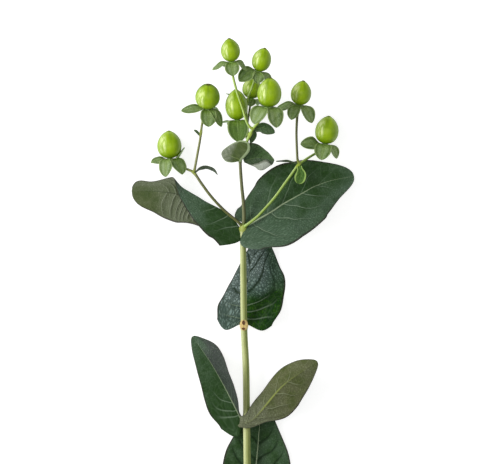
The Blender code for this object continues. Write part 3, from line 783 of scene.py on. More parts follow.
class Path:
    """A smooth path through points, read at even lengths along it."""

    SAMPLES = 24
    TANGENT_STEP = 0.02

    def __init__(self, points: tuple[Point, ...]) -> None:
        """Sample the smooth curve through the points and measure it.

        Args:
            points: what the path passes through, in millimetres.
        """
        knots = [Vector(point) for point in points]
        count = self.SAMPLES * (len(knots) - 1)
        self.samples = [blend(knots, index / count) for index in range(count + 1)]
        self.lengths = [0.0]
        for start, end in zip(self.samples, self.samples[1:]):
            self.lengths.append(self.lengths[-1] + (end - start).length)

    @property
    def length(self) -> float:
        """Return the path's length."""
        return self.lengths[-1]

    def point(self, position: float) -> Vector:
        """Find the point at a share of the path's length.

        Args:
            position: the share, which may lie a little past the path's ends.

        Returns:
            The point, in millimetres.
        """
        target = position * self.length
        index = 0
        while index < len(self.lengths) - 2 and self.lengths[index + 1] < target:
            index += 1
        share = (target - self.lengths[index]) / (self.lengths[index + 1] - self.lengths[index])
        return self.samples[index].lerp(self.samples[index + 1], share)

    def tangent(self, position: float) -> Vector:
        """Find the path's direction at a share of its length.

        Args:
            position: the share, from 0 to 1.

        Returns:
            The unit tangent.
        """
        ahead = self.point(min(position + self.TANGENT_STEP, 1.0))
        behind = self.point(max(position - self.TANGENT_STEP, 0.0))
        return (ahead - behind).normalized()

    def nearest(self, place: Vector) -> Vector:
        """Return the sample of the path that is nearest to a place."""
        return min(self.samples, key=lambda sample: (sample - place).length)


# ------------------------------------------------------------------- pieces


def settle(piece: bpy.types.Object, node: str) -> None:
    """Put a piece in its node's place on the frame, and report it.

    Args:
        piece: the finished piece.
        node: the CAD node that it stands for.
    """
    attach(piece, BODY)
    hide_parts(node)
    LOG.info("%s: %d faces", piece.name, len(piece.data.polygons))


def show(name: str, mesh: bpy.types.Mesh) -> bpy.types.Object:
    """Make an object that shows a mesh.

    Args:
        name: the piece's name.
        mesh: its mesh.

    Returns:
        The new piece.
    """
    mesh.name = name
    piece = bpy.data.objects.new(name, mesh)
    bpy.context.scene.collection.objects.link(piece)
    return piece


class Face(Enum):
    """Which face of a blade looks along its sheet's normal."""

    UPPER = "upper"
    UNDER = "under"


@dataclass
class Spot:
    """One point of a sheet: its place, its thickness to both sides and what its finish reads."""

    point: Vector
    above: float
    below: float
    flat: Point
    share: Point
    vein: Point


class Shell:
    """Collects closed thin sheets and lathed forms into one mesh."""

    # What a finish made for blades reads on a lathed form.
    LATHE_SHARE = (0.3, 0.3, 0.4)
    LATHE_VEIN = (0.5, 0.1, 0.0)

    def __init__(self) -> None:
        """Start with nothing."""
        self.points: list[Vector] = []
        self.faces: list[tuple[int, ...]] = []
        self.materials: list[int] = []
        self.flat: list[Point] = []
        self.share: list[Point] = []
        self.vein: list[Point] = []

    def add_point(self, point: Vector, spot: Spot) -> int:
        """Add a point.

        Args:
            point: where it is, in millimetres.
            spot: the spot whose attributes it takes.

        Returns:
            The point's number.
        """
        self.points.append(point)
        self.flat.append(spot.flat)
        self.share.append(spot.share)
        self.vein.append(spot.vein)
        return len(self.points) - 1

    def add_face(self, corners: tuple[int, ...], material: int) -> None:
        """Add a face in one of the piece's materials."""
        self.faces.append(corners)
        self.materials.append(material)

    def add_sheet(self, grid: list[list[Spot]], above: int = 0, below: int = 1) -> None:
        """Add a thin closed sheet with a rounded rim.

        Args:
            grid: rows of spots from base to tip, each row from left to right.
            above: the material of the face along the sheet's normal.
            below: the material of the other face.
        """
        last_row, last = len(grid) - 1, len(grid[0]) - 1
        tops, bottoms = [], []
        for row, line in enumerate(grid):
            top_line, bottom_line = [], []
            for column, spot in enumerate(line):
                ahead = grid[min(row + 1, last_row)][column].point
                behind = grid[max(row - 1, 0)][column].point
                right = line[min(column + 1, last)].point
                left = line[max(column - 1, 0)].point
                normal = (right - left).cross(ahead - behind).normalized()
                top_line.append(self.add_point(spot.point + normal * spot.above, spot))
                bottom_line.append(self.add_point(spot.point - normal * spot.below, spot))
            tops.append(top_line)
            bottoms.append(bottom_line)
        for row in range(last_row):
            for column in range(last):
                self.add_face((tops[row][column], tops[row][column + 1],
                               tops[row + 1][column + 1], tops[row + 1][column]), above)
                self.add_face((bottoms[row][column], bottoms[row + 1][column],
                               bottoms[row + 1][column + 1], bottoms[row][column + 1]), below)
        loop = [(row, 0) for row in range(last_row + 1)]
        loop += [(last_row, column) for column in range(1, last + 1)]
        loop += [(row, last) for row in range(last_row - 1, -1, -1)]
        loop += [(0, column) for column in range(last - 1, 0, -1)]
        rims = []
        for row, column in loop:
            spot = grid[row][column]
            inner = grid[min(max(row, 1), last_row - 1)][min(max(column, 1), last - 1)].point
            outward = (spot.point - inner).normalized() * (spot.above + spot.below) * 0.5
            rims.append(self.add_point(spot.point + outward, spot))
        for index, (row, column) in enumerate(loop):
            following = (index + 1) % len(loop)
            next_row, next_column = loop[following]
            self.add_face((tops[row][column], tops[next_row][next_column],
                           rims[following], rims[index]), above)
            self.add_face((rims[index], rims[following],
                           bottoms[next_row][next_column], bottoms[row][column]), below)

    def add_lathe(self, profile: Profile, matrix: Matrix, sides: int, material: int) -> None:
        """Add a turned form with closed poles.

        Args:
            profile: radius and height of each ring, from the bottom up.
            matrix: the frame whose Z is the form's axis.
            sides: the number of faces round it.
            material: its material.
        """
        rings = []
        for radius, height in profile:
            ring = []
            for corner in range(sides):
                angle = math.tau * corner / sides
                corner_place = (radius * math.cos(angle), radius * math.sin(angle), height)
                place = matrix @ Vector(corner_place)
                spot = Spot(place, 0.0, 0.0, (height, radius * angle, 0.0),
                            self.LATHE_SHARE, self.LATHE_VEIN)
                ring.append(self.add_point(place, spot))
            rings.append(ring)
        for ring, following in zip(rings, rings[1:]):
            for corner in range(sides):
                beside = (corner + 1) % sides
                self.add_face((ring[corner], ring[beside], following[beside], following[corner]),
                              material)
        self.add_face(tuple(reversed(rings[0])), material)
        self.add_face(tuple(rings[-1]), material)

    def mesh(self, name: str, finishes: tuple[bpy.types.Material, ...]) -> bpy.types.Mesh:
        """Return the collected forms as a smooth mesh in metres.

        Args:
            name: the mesh's name.
            finishes: its materials, in the order that the faces number them.

        Returns:
            The mesh, with the attributes that its finishes read.
        """
        mesh = bpy.data.meshes.new(name)
        mesh.from_pydata([tuple(point * MM) for point in self.points], [], self.faces)
        for material in finishes:
            mesh.materials.append(material)
        mesh.polygons.foreach_set("material_index", self.materials)
        for title, values in (("flat", self.flat), ("share", self.share), ("vein", self.vein)):
            attribute = mesh.attributes.new(title, "FLOAT_VECTOR", "POINT")
            attribute.data.foreach_set("vector", [part for value in values for part in value])
        mesh.update()
        mesh.shade_smooth()
        return mesh


# -------------------------------------------------------------------- stems


class StemGrowth:
    """The geometry tree that sweeps every stem, branch and stalk along its path."""

    RIDGES = 2.0
    RIDGE_SHARPNESS = 6.0

    def __init__(self) -> None:
        """Build the tree."""
        graph = GrowthGraph("stem_growth", {"Sides": "NodeSocketInt", "Ridge": "NodeSocketFloat",
                                            "Material": "NodeSocketMaterial"})
        self.graph = graph
        line = graph.node("GeometryNodeMeshToCurve", inputs={0: graph.given("Geometry")})
        circle = graph.node("GeometryNodeCurvePrimitiveCircle",
                            inputs={0: graph.given("Sides"), 4: 1.0})
        turn = graph.node("GeometryNodeSplineParameter", output="Factor")
        crest = (turn * (self.RIDGES * math.tau)).math("COSINE").math("MAXIMUM", 0.0)
        factor = 1.0 + crest ** self.RIDGE_SHARPNESS * graph.given("Ridge")
        place = graph.node("GeometryNodeInputPosition")
        moved = graph.node("ShaderNodeVectorMath", {"operation": "SCALE"},
                           {0: place, "Scale": factor})
        profile = graph.node("GeometryNodeSetPosition", inputs={0: circle, 2: moved})
        radius = graph.node("GeometryNodeInputNamedAttribute", {"data_type": "FLOAT"},
                            {"Name": "girth"})
        graph.finish(graph.node("GeometryNodeCurveToMesh",
                                inputs={0: line, 1: profile, 2: radius, 3: True}))

    def sweep(self, centres: list[Vector], radii: list[float], nodes: list[float], sides: int,
              ridge: float, material: bpy.types.Material) -> bpy.types.Mesh:
        """Sweep a round stem through points.

        Args:
            centres: its middle line, in millimetres.
            radii: its radius at each point.
            nodes: how near each point is to a node, from 0 to 1.
            sides: the number of faces round it.
            ridge: how far its two ridges stand out, as a share of the radius.
            material: its finish.

        Returns:
            The mesh, in metres.
        """
        host = bpy.data.meshes.new("line")
        edges = [(index, index + 1) for index in range(len(centres) - 1)]
        host.from_pydata([tuple(centre * MM) for centre in centres], edges, [])
        length = [0.0]
        for start, end in zip(centres, centres[1:]):
            length.append(length[-1] + (end - start).length)
        girths = [radius * MM for radius in radii]
        for title, values in (("girth", girths), ("along", length), ("node", nodes)):
            host.attributes.new(title, "FLOAT", "POINT").data.foreach_set("value", values)
        mesh = self.graph.grow(host, {"Sides": sides, "Ridge": ridge, "Material": material})
        # The finish reads the normal's X to paint light on the left and shade on the right.
        joined = []
        facts = (mesh.attributes[title].data for title in ("along", "node"))
        for vertex, along, node in zip(mesh.vertices, *facts):
            joined += [along.value, vertex.normal.x, node.value]
        mesh.attributes.new("flat", "FLOAT_VECTOR", "POINT").data.foreach_set("vector", joined)
        return mesh


@dataclass(frozen=True)
class Scar:
    """A rounded patch on the stem: its place, its half-sizes, and its profile and finish."""

    centre: Point
    half_width: float
    half_length: float
    finish: int


@dataclass(frozen=True)
class Stem:
    """The main stem: its middle line, its radii, its nodes and its slanted cut end.

    Each node swells by swelling within node_half_length of it, and collar_height more in the
    narrow collar at its middle.  top_reach is how far the stem runs on into the branches.
    """

    axis: tuple[Point, ...] = (
        (2.6, -149.6, 1.92), (2.4, -110.0, 3.6), (2.3, -85.0, 5.2), (2.1, -62.0, 6.6),
        (1.8, -39.0, 7.9), (1.5, -14.5, 9.2), (0.5, 7.0, 10.4), (0.2, 32.0, 12.0),
        (0.0, 56.3, 13.4))
    radius_cut: float = 1.95
    radius_top: float = 1.45
    nodes_y: tuple[float, ...] = (-85.0, -39.0, 7.0, 55.6)
    swelling: float = 0.4
    node_half_length: float = 2.4
    collar_height: float = 0.12
    collar_half_length: float = 0.5
    cut_slope: float = 0.5
    rings: int = 230
    sides: int = 32
    ridge: float = 0.05
    top_reach: float = 1.2
    scars: tuple[Scar, ...] = (
        Scar((0.45, 7.5, 11.75), 2.1, 2.9, 0), Scar((0.3, 8.7, 12.5), 0.75, 1.15, 1),
        Scar((0.2, 5.7, 12.4), 0.8, 0.6, 1))
    scar_profiles: tuple[Profile, ...] = (
        ((0.2, -0.6), (0.9, -0.4), (1.0, -0.1), (0.96, 0.2), (0.82, 0.5), (0.6, 0.68),
         (0.3, 0.72), (0.08, 0.7)),
        ((0.2, -0.3), (0.8, -0.2), (1.0, 0.0), (1.0, 0.22), (0.86, 0.32), (0.66, 0.22),
         (0.4, 0.08), (0.1, 0.04)))

    def path(self) -> Path:
        """Return the stem's middle line."""
        return Path(self.axis)

    def build(self, growth: StemGrowth) -> None:
        """Build the stem, its cut face and the scars of a fallen leaf.

        Args:
            growth: the tree that sweeps it.
        """
        path = self.path()
        centres, radii, nodes = [], [], []
        for index in range(self.rings + 1):
            share = index / self.rings * (1.0 + self.top_reach / path.length)
            centre = path.point(share)
            near = min(abs(centre.y - y) for y in self.nodes_y)
            closeness = 1.0 - ease(near / self.node_half_length)
            collar = math.exp(-((near / self.collar_half_length) ** 2)) * self.collar_height
            radius = self.radius_cut + (self.radius_top - self.radius_cut) * min(share, 1.0)
            centres.append(centre)
            radii.append(radius + self.swelling * closeness + collar)
            nodes.append(closeness)
        mesh = growth.sweep(centres, radii, nodes, self.sides, self.ridge, dress(STEM_GREEN))
        self.cut_end(mesh, centres[0], (centres[1] - centres[0]).normalized())
        mesh.materials.append(dress(PITH_PALE))
        for polygon in mesh.polygons:
            is_cap = len(polygon.vertices) > 4
            if is_cap:
                polygon.material_index = 1
        settle(show("stem", mesh), "main_stem")
        self.build_scars()

    def build_scars(self) -> None:
        """Build the tan callus of a fallen front leaf, with its two dark scars."""
        shell = Shell()
        for scar in self.scars:
            stretch = Matrix.Diagonal((scar.half_width, scar.half_length, 1.0, 1.0))
            matrix = Matrix.Translation(Vector(scar.centre)) @ stretch
            shell.add_lathe(self.scar_profiles[scar.finish], matrix, self.sides, scar.finish)
        mesh = shell.mesh("leaf_scar", (dress(SCAR_TAN), dress(SCAR_BROWN)))
        settle(show("leaf_scar", mesh), "main_stem")

    def cut_end(self, mesh: bpy.types.Mesh, centre: Vector, tangent: Vector) -> None:
        """Slant the first ring of the stem, so that its cut face is oblique.

        Args:
            mesh: the swept stem.
            centre: the first point of its middle line, in millimetres.
            tangent: the direction of the middle line there.
        """
        side = UP.cross(tangent).normalized()
        front = tangent.cross(side)
        for vertex, fact in zip(mesh.vertices, mesh.attributes["along"].data):
            is_first_ring = fact.value < 1e-4
            if is_first_ring:
                offset = vertex.co / MM - centre
                vertex.co = (vertex.co / MM + tangent * (self.cut_slope * offset.dot(front))) * MM
        mesh.update()


@dataclass(frozen=True)
class Branch:
    """A branch or stalk: the points it passes through, its finish and the berry at its end.

    From top_from millimetres along it a branch with a top finish wears that one.  Its radii run
    from its first point to its berry, and it is thicker by root_swelling where it leaves its
    parent, by fork_swelling at each fork and by flare under its berry.
    """

    name: str
    points: tuple[Point, ...]
    radii: tuple[float, ...]
    finish: StemFinish
    slot: str
    berry: int
    forks: tuple[Point, ...] = ()
    sides: int = 20
    neck: float = 1.2
    flare: float = 1.5
    top: StemFinish | None = None
    top_from: float = 0.0
    foot_below: float = 1.2
    fork_swelling: float = 0.28
    fork_half_length: float = 2.6
    root_swelling: float = 0.25
    root_length: float = 4.0
    flare_steps: int = 4
    ring_spacing: float = 0.7
    fewest_rings: int = 30

    def build(self, growth: StemGrowth, parent: Path, berry: "Berry") -> Path:
        """Build the branch from inside its parent to the foot of its berry.

        Args:
            growth: the tree that sweeps it.
            parent: the middle line that it leaves.
            berry: the berry that it carries.

        Returns:
            The branch's own middle line.
        """
        foot = berry.base(self.foot_below)
        first = parent.nearest(Vector(self.points[0]))
        points = (tuple(first), *self.points, tuple(foot - berry.axis() * self.neck))
        path = Path(points)
        count = max(self.fewest_rings, int(path.length / self.ring_spacing))
        root_share = (Vector(self.points[0]) - first).length / path.length
        centres, radii, nodes = [], [], []
        for index in range(count + 1):
            share = index / count
            centre = path.point(share)
            near = min(((centre - Vector(fork)).length for fork in self.forks), default=math.inf)
            closeness = 1.0 - ease(near / self.fork_half_length)
            start = 1.0 - ease(share * path.length / self.root_length)
            radius = blend(self.radii, (share - root_share) / (1.0 - root_share))
            swelling = self.fork_swelling * closeness + self.root_swelling * start
            centres.append(centre)
            radii.append(radius * (1.0 + swelling))
            nodes.append(max(closeness, start))
        for step in range(1, self.flare_steps + 1):
            share = step / self.flare_steps
            centres.append(centres[count].lerp(foot, share))
            radii.append(self.radii[-1] * (1.0 + (self.flare - 1.0) * ease(share)))
            nodes.append(share)
        mesh = growth.sweep(centres, radii, nodes, self.sides, 0.0, dress(self.finish))
        if self.top is not None:
            mesh.materials.append(dress(self.top))
            reached = mesh.attributes["along"].data
            for polygon in mesh.polygons:
                if reached[polygon.vertices[0]].value > self.top_from:
                    polygon.material_index = 1
        settle(show(f"{self.name}_skin", mesh), self.name)
        return path


# -------------------------------------------------------------------- berries


@dataclass(frozen=True)
class Sepal:
    """A sepal: where it stands round the berry, its length and half-width, and how far it bends.

    azimuth is in degrees: 0 points to the left, 90 up from the surface, 180 to the right.
    droop is the angle in degrees that its tip makes below the calyx disc, and face is how far
    its upper side twists to look up from the surface.  A higher tone makes it paler and its
    painted highlight stronger.
    """

    azimuth: float
    length: float
    half_width: float
    droop: float
    face: float = 0.0
    tone: float = 0.45


class BerryGrowth:
    """The geometry tree that shapes every berry from one sphere.

    Its inputs are the berry's width and height, how egg-shaped it is, how deep its furrows are
    and how they are turned, how far its top draws in to a peak, and the length of its beak.
    """

    SIZES = ("Width", "Height", "Egg", "Furrow", "Turn", "Peak", "Beak Length")
    SIDES = 48
    RINGS = 40
    FURROWS = 3.0
    FURROW_SHARPNESS = 10.0
    FURROW_DIP = 0.006
    SQUARENESS = 0.06

    def __init__(self) -> None:
        """Build the tree."""
        sizes = {size: "NodeSocketFloat" for size in self.SIZES}
        graph = GrowthGraph("berry_growth", sizes | {"Material": "NodeSocketMaterial"})
        self.graph = graph
        ball = graph.node("GeometryNodeMeshUVSphere",
                          inputs={0: self.SIDES, 1: self.RINGS, 2: 1.0})
        x, y, z = graph.node("GeometryNodeInputPosition").parts()
        angle = graph.math("ARCTAN2", y, x)
        level = (1.0 - z * z).math("MAXIMUM", 0.0).math("SQRT")
        wave = (angle * self.FURROWS + graph.given("Turn")).math("COSINE")
        seam = (wave * 0.5 + 0.5) ** self.FURROW_SHARPNESS
        tipward = z.rise(-0.1, 0.85)
        furrow = 1.0 - seam * tipward * graph.given("Furrow")
        girth = level.math("MAXIMUM", 0.02) ** -self.SQUARENESS
        girth = girth * (1.0 - z * graph.given("Egg")) * furrow
        girth = girth * (1.0 - z.rise(0.25, 1.0) * graph.given("Peak"))
        half = graph.given("Width") * 0.5
        lift = z.rise(0.962, 0.999) * graph.given("Beak Length")
        height = (z + 1.0) * 0.5 * graph.given("Height")
        height = height * (1.0 - seam * tipward * self.FURROW_DIP) + lift
        place = graph.combine(x * girth * half, y * girth * half, height)
        facts = graph.combine((z + 1.0) * 0.5, seam, z.rise(0.972, 0.993))
        # round lets the berry's finish paint light on the left and shade to the right and below.
        stored = ball
        for name, value in (("ripeness", facts), ("round", graph.combine(x, y, z))):
            stored = graph.node("GeometryNodeStoreNamedAttribute",
                                {"data_type": "FLOAT_VECTOR", "domain": "POINT"},
                                {0: stored, "Name": name, "Value": value})
        graph.finish(graph.node("GeometryNodeSetPosition", inputs={0: stored, 2: place}))


@dataclass(frozen=True)
class Berry:
    """A berry with its calyx: its centre, the heading and elevation of its tip, and its sizes.

    seam_turn turns its furrows, in radians.  peak, egg and furrow shape it as the tree's inputs
    do.  widths, point, cup, bend, frill and the keel shape its sepals, whose roots reach back
    under the disc by root_reach of their length.
    """

    number: int
    centre: Point
    heading: float
    elevation: float
    width: float
    height: float
    sepals: tuple[Sepal, ...]
    seam_turn: float = 0.0
    peak: float = 0.06
    egg: float = 0.1
    furrow: float = 0.035
    disc_radius: float = 1.7
    thickness: float = 0.5
    widths: tuple[float, ...] = (0.5, 0.9, 1.0, 0.95, 0.8)
    point: float = 0.25
    cup: float = 0.2
    bend: float = 2.2
    row_spread: float = 1.5
    frill: float = 0.22
    frill_waves: float = 9.0
    keel_depth: float = 0.16
    keel_half_width: float = 0.5
    root_reach: float = 0.12
    arc_steps: int = 14
    rows: int = 22
    columns: int = 7
    vein_rows: float = 2.6
    calyx_below: float = 0.6
    beak: float = 0.35
    disc: Profile = ((0.5, -1.3), (0.85, -1.15), (1.05, -0.8), (1.35, -0.45), (1.9, -0.2),
                     (2.05, 0.05), (1.9, 0.3), (1.5, 0.55), (1.2, 0.8))
    disc_sides: int = 28

    def axis(self) -> Vector:
        """Find which way the berry points.

        Returns:
            The unit vector from its base to its tip.
        """
        heading = math.radians(self.heading)
        elevation = math.radians(self.elevation)
        flat = math.cos(elevation)
        return Vector((math.sin(heading) * flat, math.cos(heading) * flat, math.sin(elevation)))

    def base(self, below: float = 0.0) -> Vector:
        """Return the point on the axis that lies the given distance below the berry's base."""
        return Vector(self.centre) - self.axis() * (self.height / 2.0 + below)

    def frame(self, below: float = 0.0) -> Matrix:
        """Find the frame that the berry or its calyx is built in.

        Args:
            below: how far below the berry's base its origin lies.

        Returns:
            A matrix whose Z is the berry's axis and whose Y points up from the surface.
        """
        axis = self.axis()
        left = UP.cross(axis).normalized()
        front = axis.cross(left)
        matrix = Matrix((left, front, axis)).transposed().to_4x4()
        matrix.translation = self.base(below)
        return matrix

    def sepal_line(self, sepal: Sepal, position: float) -> tuple[Vector, Vector, Vector, float]:
        """Return how a sepal lies at one place along it.

        Args:
            sepal: the sepal.
            position: the share of its length.

        Returns:
            Its middle, its side direction, its upper direction and its half-width.
        """
        steps = self.arc_steps
        azimuth = math.radians(sepal.azimuth)
        outward = Vector((math.cos(azimuth), math.sin(azimuth), 0.0))
        across = Vector((-math.sin(azimuth), math.cos(azimuth), 0.0))
        middle = outward * self.disc_radius
        angle = 0.0
        for step in range(steps):
            angle = math.radians(sepal.droop) * ease(position * (step + 0.5) / steps * self.bend)
            ahead = outward * math.cos(angle) - UP * math.sin(angle)
            middle = middle + ahead * (sepal.length * position / steps)
        normal = UP * math.cos(angle) + outward * math.sin(angle)
        twist = -math.radians(sepal.face) * math.cos(azimuth) * ease(position * self.bend)
        side = across * math.cos(twist) + normal * math.sin(twist)
        lift = normal * math.cos(twist) - across * math.sin(twist)
        width = sepal.half_width * blend(self.widths, position)
        width *= 1.0 - self.point * position ** 3
        width *= math.sqrt(1.0 - position ** 6)
        return middle, side, lift, width

    def add_sepal(self, shell: Shell, sepal: Sepal, matrix: Matrix) -> None:
        """Add one sepal, reaching back under the disc so that it joins the others.

        Args:
            shell: what the calyx is collected in.
            sepal: the sepal.
            matrix: the calyx's frame.
        """
        grid = []
        for row in range(self.rows + 1):
            position = 1.0 - (1.0 - TIP_SHARE * row / self.rows) ** self.row_spread
            reach = -self.root_reach + (1.0 + self.root_reach) * position
            middle, side, lift, width = self.sepal_line(sepal, max(reach, 0.0))
            if reach < 0.0:
                azimuth = math.radians(sepal.azimuth)
                middle = middle + Vector((math.cos(azimuth), math.sin(azimuth), 0.0)) * (
                    reach * sepal.length)
            line = []
            for column in range(-self.columns, self.columns + 1):
                share = -column / self.columns
                wave = self.frill * share * share
                wave *= math.sin(self.frill_waves * position + 2.0 * sepal.azimuth)
                keel = -self.keel_depth * math.exp(-((share * width / self.keel_half_width) ** 2))
                place = middle - side * (share * width) + lift * (
                    self.cup * width * share * share + wave * ease(position * 2.0) + keel)
                edge = abs(share)
                thick = half_thickness(self.thickness, edge)
                spacing = max(width, 0.2) / self.vein_rows
                line.append(Spot(
                    matrix @ place, thick, thick,
                    (sepal.length * position, share * width, 0.0),
                    (position, edge, sepal.tone),
                    (share * self.vein_rows, spacing, 1.0 - 0.7 * position)))
            grid.append(line)
        shell.add_sheet(grid)

    def build(self, growth: BerryGrowth) -> None:
        """Build the berry and its calyx.

        Args:
            growth: the tree that shapes berries.
        """
        host = bpy.data.meshes.new("seed")
        mesh = growth.graph.grow(host, {
            "Width": self.width, "Height": self.height, "Egg": self.egg, "Furrow": self.furrow,
            "Turn": self.seam_turn, "Peak": self.peak, "Beak Length": self.beak,
            "Material": dress(BERRY_GREEN)})
        mesh.transform(Matrix.Scale(MM, 4) @ self.frame())
        settle(show(f"fruit_{self.number}", mesh), f"berry_{self.number}")
        shell = Shell()
        matrix = self.frame(self.calyx_below)
        for sepal in self.sepals:
            self.add_sepal(shell, sepal, matrix)
        shell.add_lathe(self.disc, matrix, self.disc_sides, 0)
        mesh = shell.mesh("sepals", (dress(SEPAL_UPPER), dress(SEPAL_UNDER)))
        settle(show(f"sepals_{self.number}", mesh), f"calyx_{self.number}")


# --------------------------------------------------------------------- leaves


@dataclass(frozen=True)
class Half:
    """One half of a blade, from its midrib to its margin.

    widths and tilt run from base to tip at even stations.  tilt is in degrees from the blade's
    plane.  A crease turns the blade by crease_turn degrees at the distance that crease gives.
    The base reaches back by lobe at the share lobe_at of its width.  veins are the distances in
    millimetres along the midrib at which lateral veins leave it, strength is how clear they are,
    sweep how far they run forward for each millimetre outward, from base to tip, and curl how
    much they bend on.
    haze is how much wax the half shows from base to tip, partly real bloom and partly painted
    sheen.
    rim_wax_and_sheen adds to it over rim_spread of the width from rim_from, and fold_sheen adds
    painted sheen, where the fold's curve catches the light, within fold_spread of a line
    fold_beyond past the crease.
    The crease bends the blade round crease_radius millimetres.
    """

    widths: tuple[float, ...]
    tilt: tuple[float, ...] = (0.0, 0.0)
    crease: tuple[float, ...] = ()
    crease_turn: float = 165.0
    lobe: float = 0.0
    lobe_at: float = 0.65
    veins: tuple[float, ...] = (2.0, 8.0, 15.0, 23.0, 32.0, 42.0, 53.0)
    strength: float = 1.0
    sweep: tuple[float, ...] = (0.4, 0.8, 1.0)
    curl: float = 1.0
    wax_and_sheen: tuple[float, ...] = (0.4, 0.4)
    rim_wax_and_sheen: float = 0.0
    rim_from: float = 0.35
    rim_spread: float = 0.4
    fold_sheen: float = 0.0
    fold_beyond: float = 1.8
    fold_spread: float = 2.6
    crease_radius: float = 1.1
    strides: int = 3

    def across(self, position: float, shares: list[float]) -> list[tuple[float, float, float]]:
        """Find where the half's columns lie across one station.

        Args:
            position: the station's share of the blade's length.
            shares: each column's share of the half's width.

        Returns:
            Each column's distance from the midrib, its lift and its flat distance.
        """
        width = blend(self.widths, position) * math.sqrt(1.0 - position ** 8)
        tilt = math.radians(blend(self.tilt, position))
        turn = math.radians(self.crease_turn)
        crease = blend(self.crease, position) if self.crease else math.inf
        distance, lift, before = 0.0, 0.0, 0.0
        result = []
        for share in shares:
            for step in range(self.strides):
                middle = before + (share - before) * (step + 0.5) / self.strides
                angle = tilt
                if self.crease:
                    angle += turn * ease((middle * width - crease) / (self.crease_radius * turn))
                distance += math.cos(angle) * width * (share - before) / self.strides
                lift += math.sin(angle) * width * (share - before) / self.strides
            before = share
            result.append((distance, lift, share * width))
        return result

    def wax_and_sheen_at(self, position: float, share: float, flat: float) -> float:
        """Find how much wax and painted sheen the half shows at a place.

        Args:
            position: the share of the blade's length.
            share: the share of the half's width.
            flat: the flat distance from the midrib.

        Returns:
            A strength: bare at 0 or below, all wax at 1, and turning to painted grey sheen above
                it.
        """
        wax_and_sheen = blend(self.wax_and_sheen, position)
        wax_and_sheen += self.rim_wax_and_sheen * ease((share - self.rim_from) / self.rim_spread)
        # Painted sheen along the fold, where its curve catches the light.
        if self.crease:
            beyond = flat - blend(self.crease, position) - self.fold_beyond
            wax_and_sheen += self.fold_sheen * math.exp(-((beyond / self.fold_spread) ** 2))
        return wax_and_sheen

    def vein_order(self, start: float) -> float:
        """Find which lateral vein leaves the midrib at a distance along it.

        Args:
            start: the distance.

        Returns:
            The vein's number and a half, or a fraction between two veins.
        """
        veins = self.veins
        index = 0
        while index < len(veins) - 2 and veins[index + 1] < start:
            index += 1
        order = index + 0.5 + (start - veins[index]) / (veins[index + 1] - veins[index])
        return max(order, 0.0)

    def vein_spacing(self, start: float) -> float:
        """Return the spacing of the lateral veins near a distance along the midrib."""
        index = min(max(int(self.vein_order(start) - 0.5), 0), len(self.veins) - 2)
        return self.veins[index + 1] - self.veins[index]


@dataclass(frozen=True)
class Station:
    """A place along a blade's midrib: its point, the directions there and how far along it is.

    side points to the left of the midrib, and normal is the way that the blade looks.  along is
    the length of midrib up to here, and position its share of the whole length.
    """

    origin: Vector
    side: Vector
    normal: Vector
    tangent: Vector
    along: float
    position: float


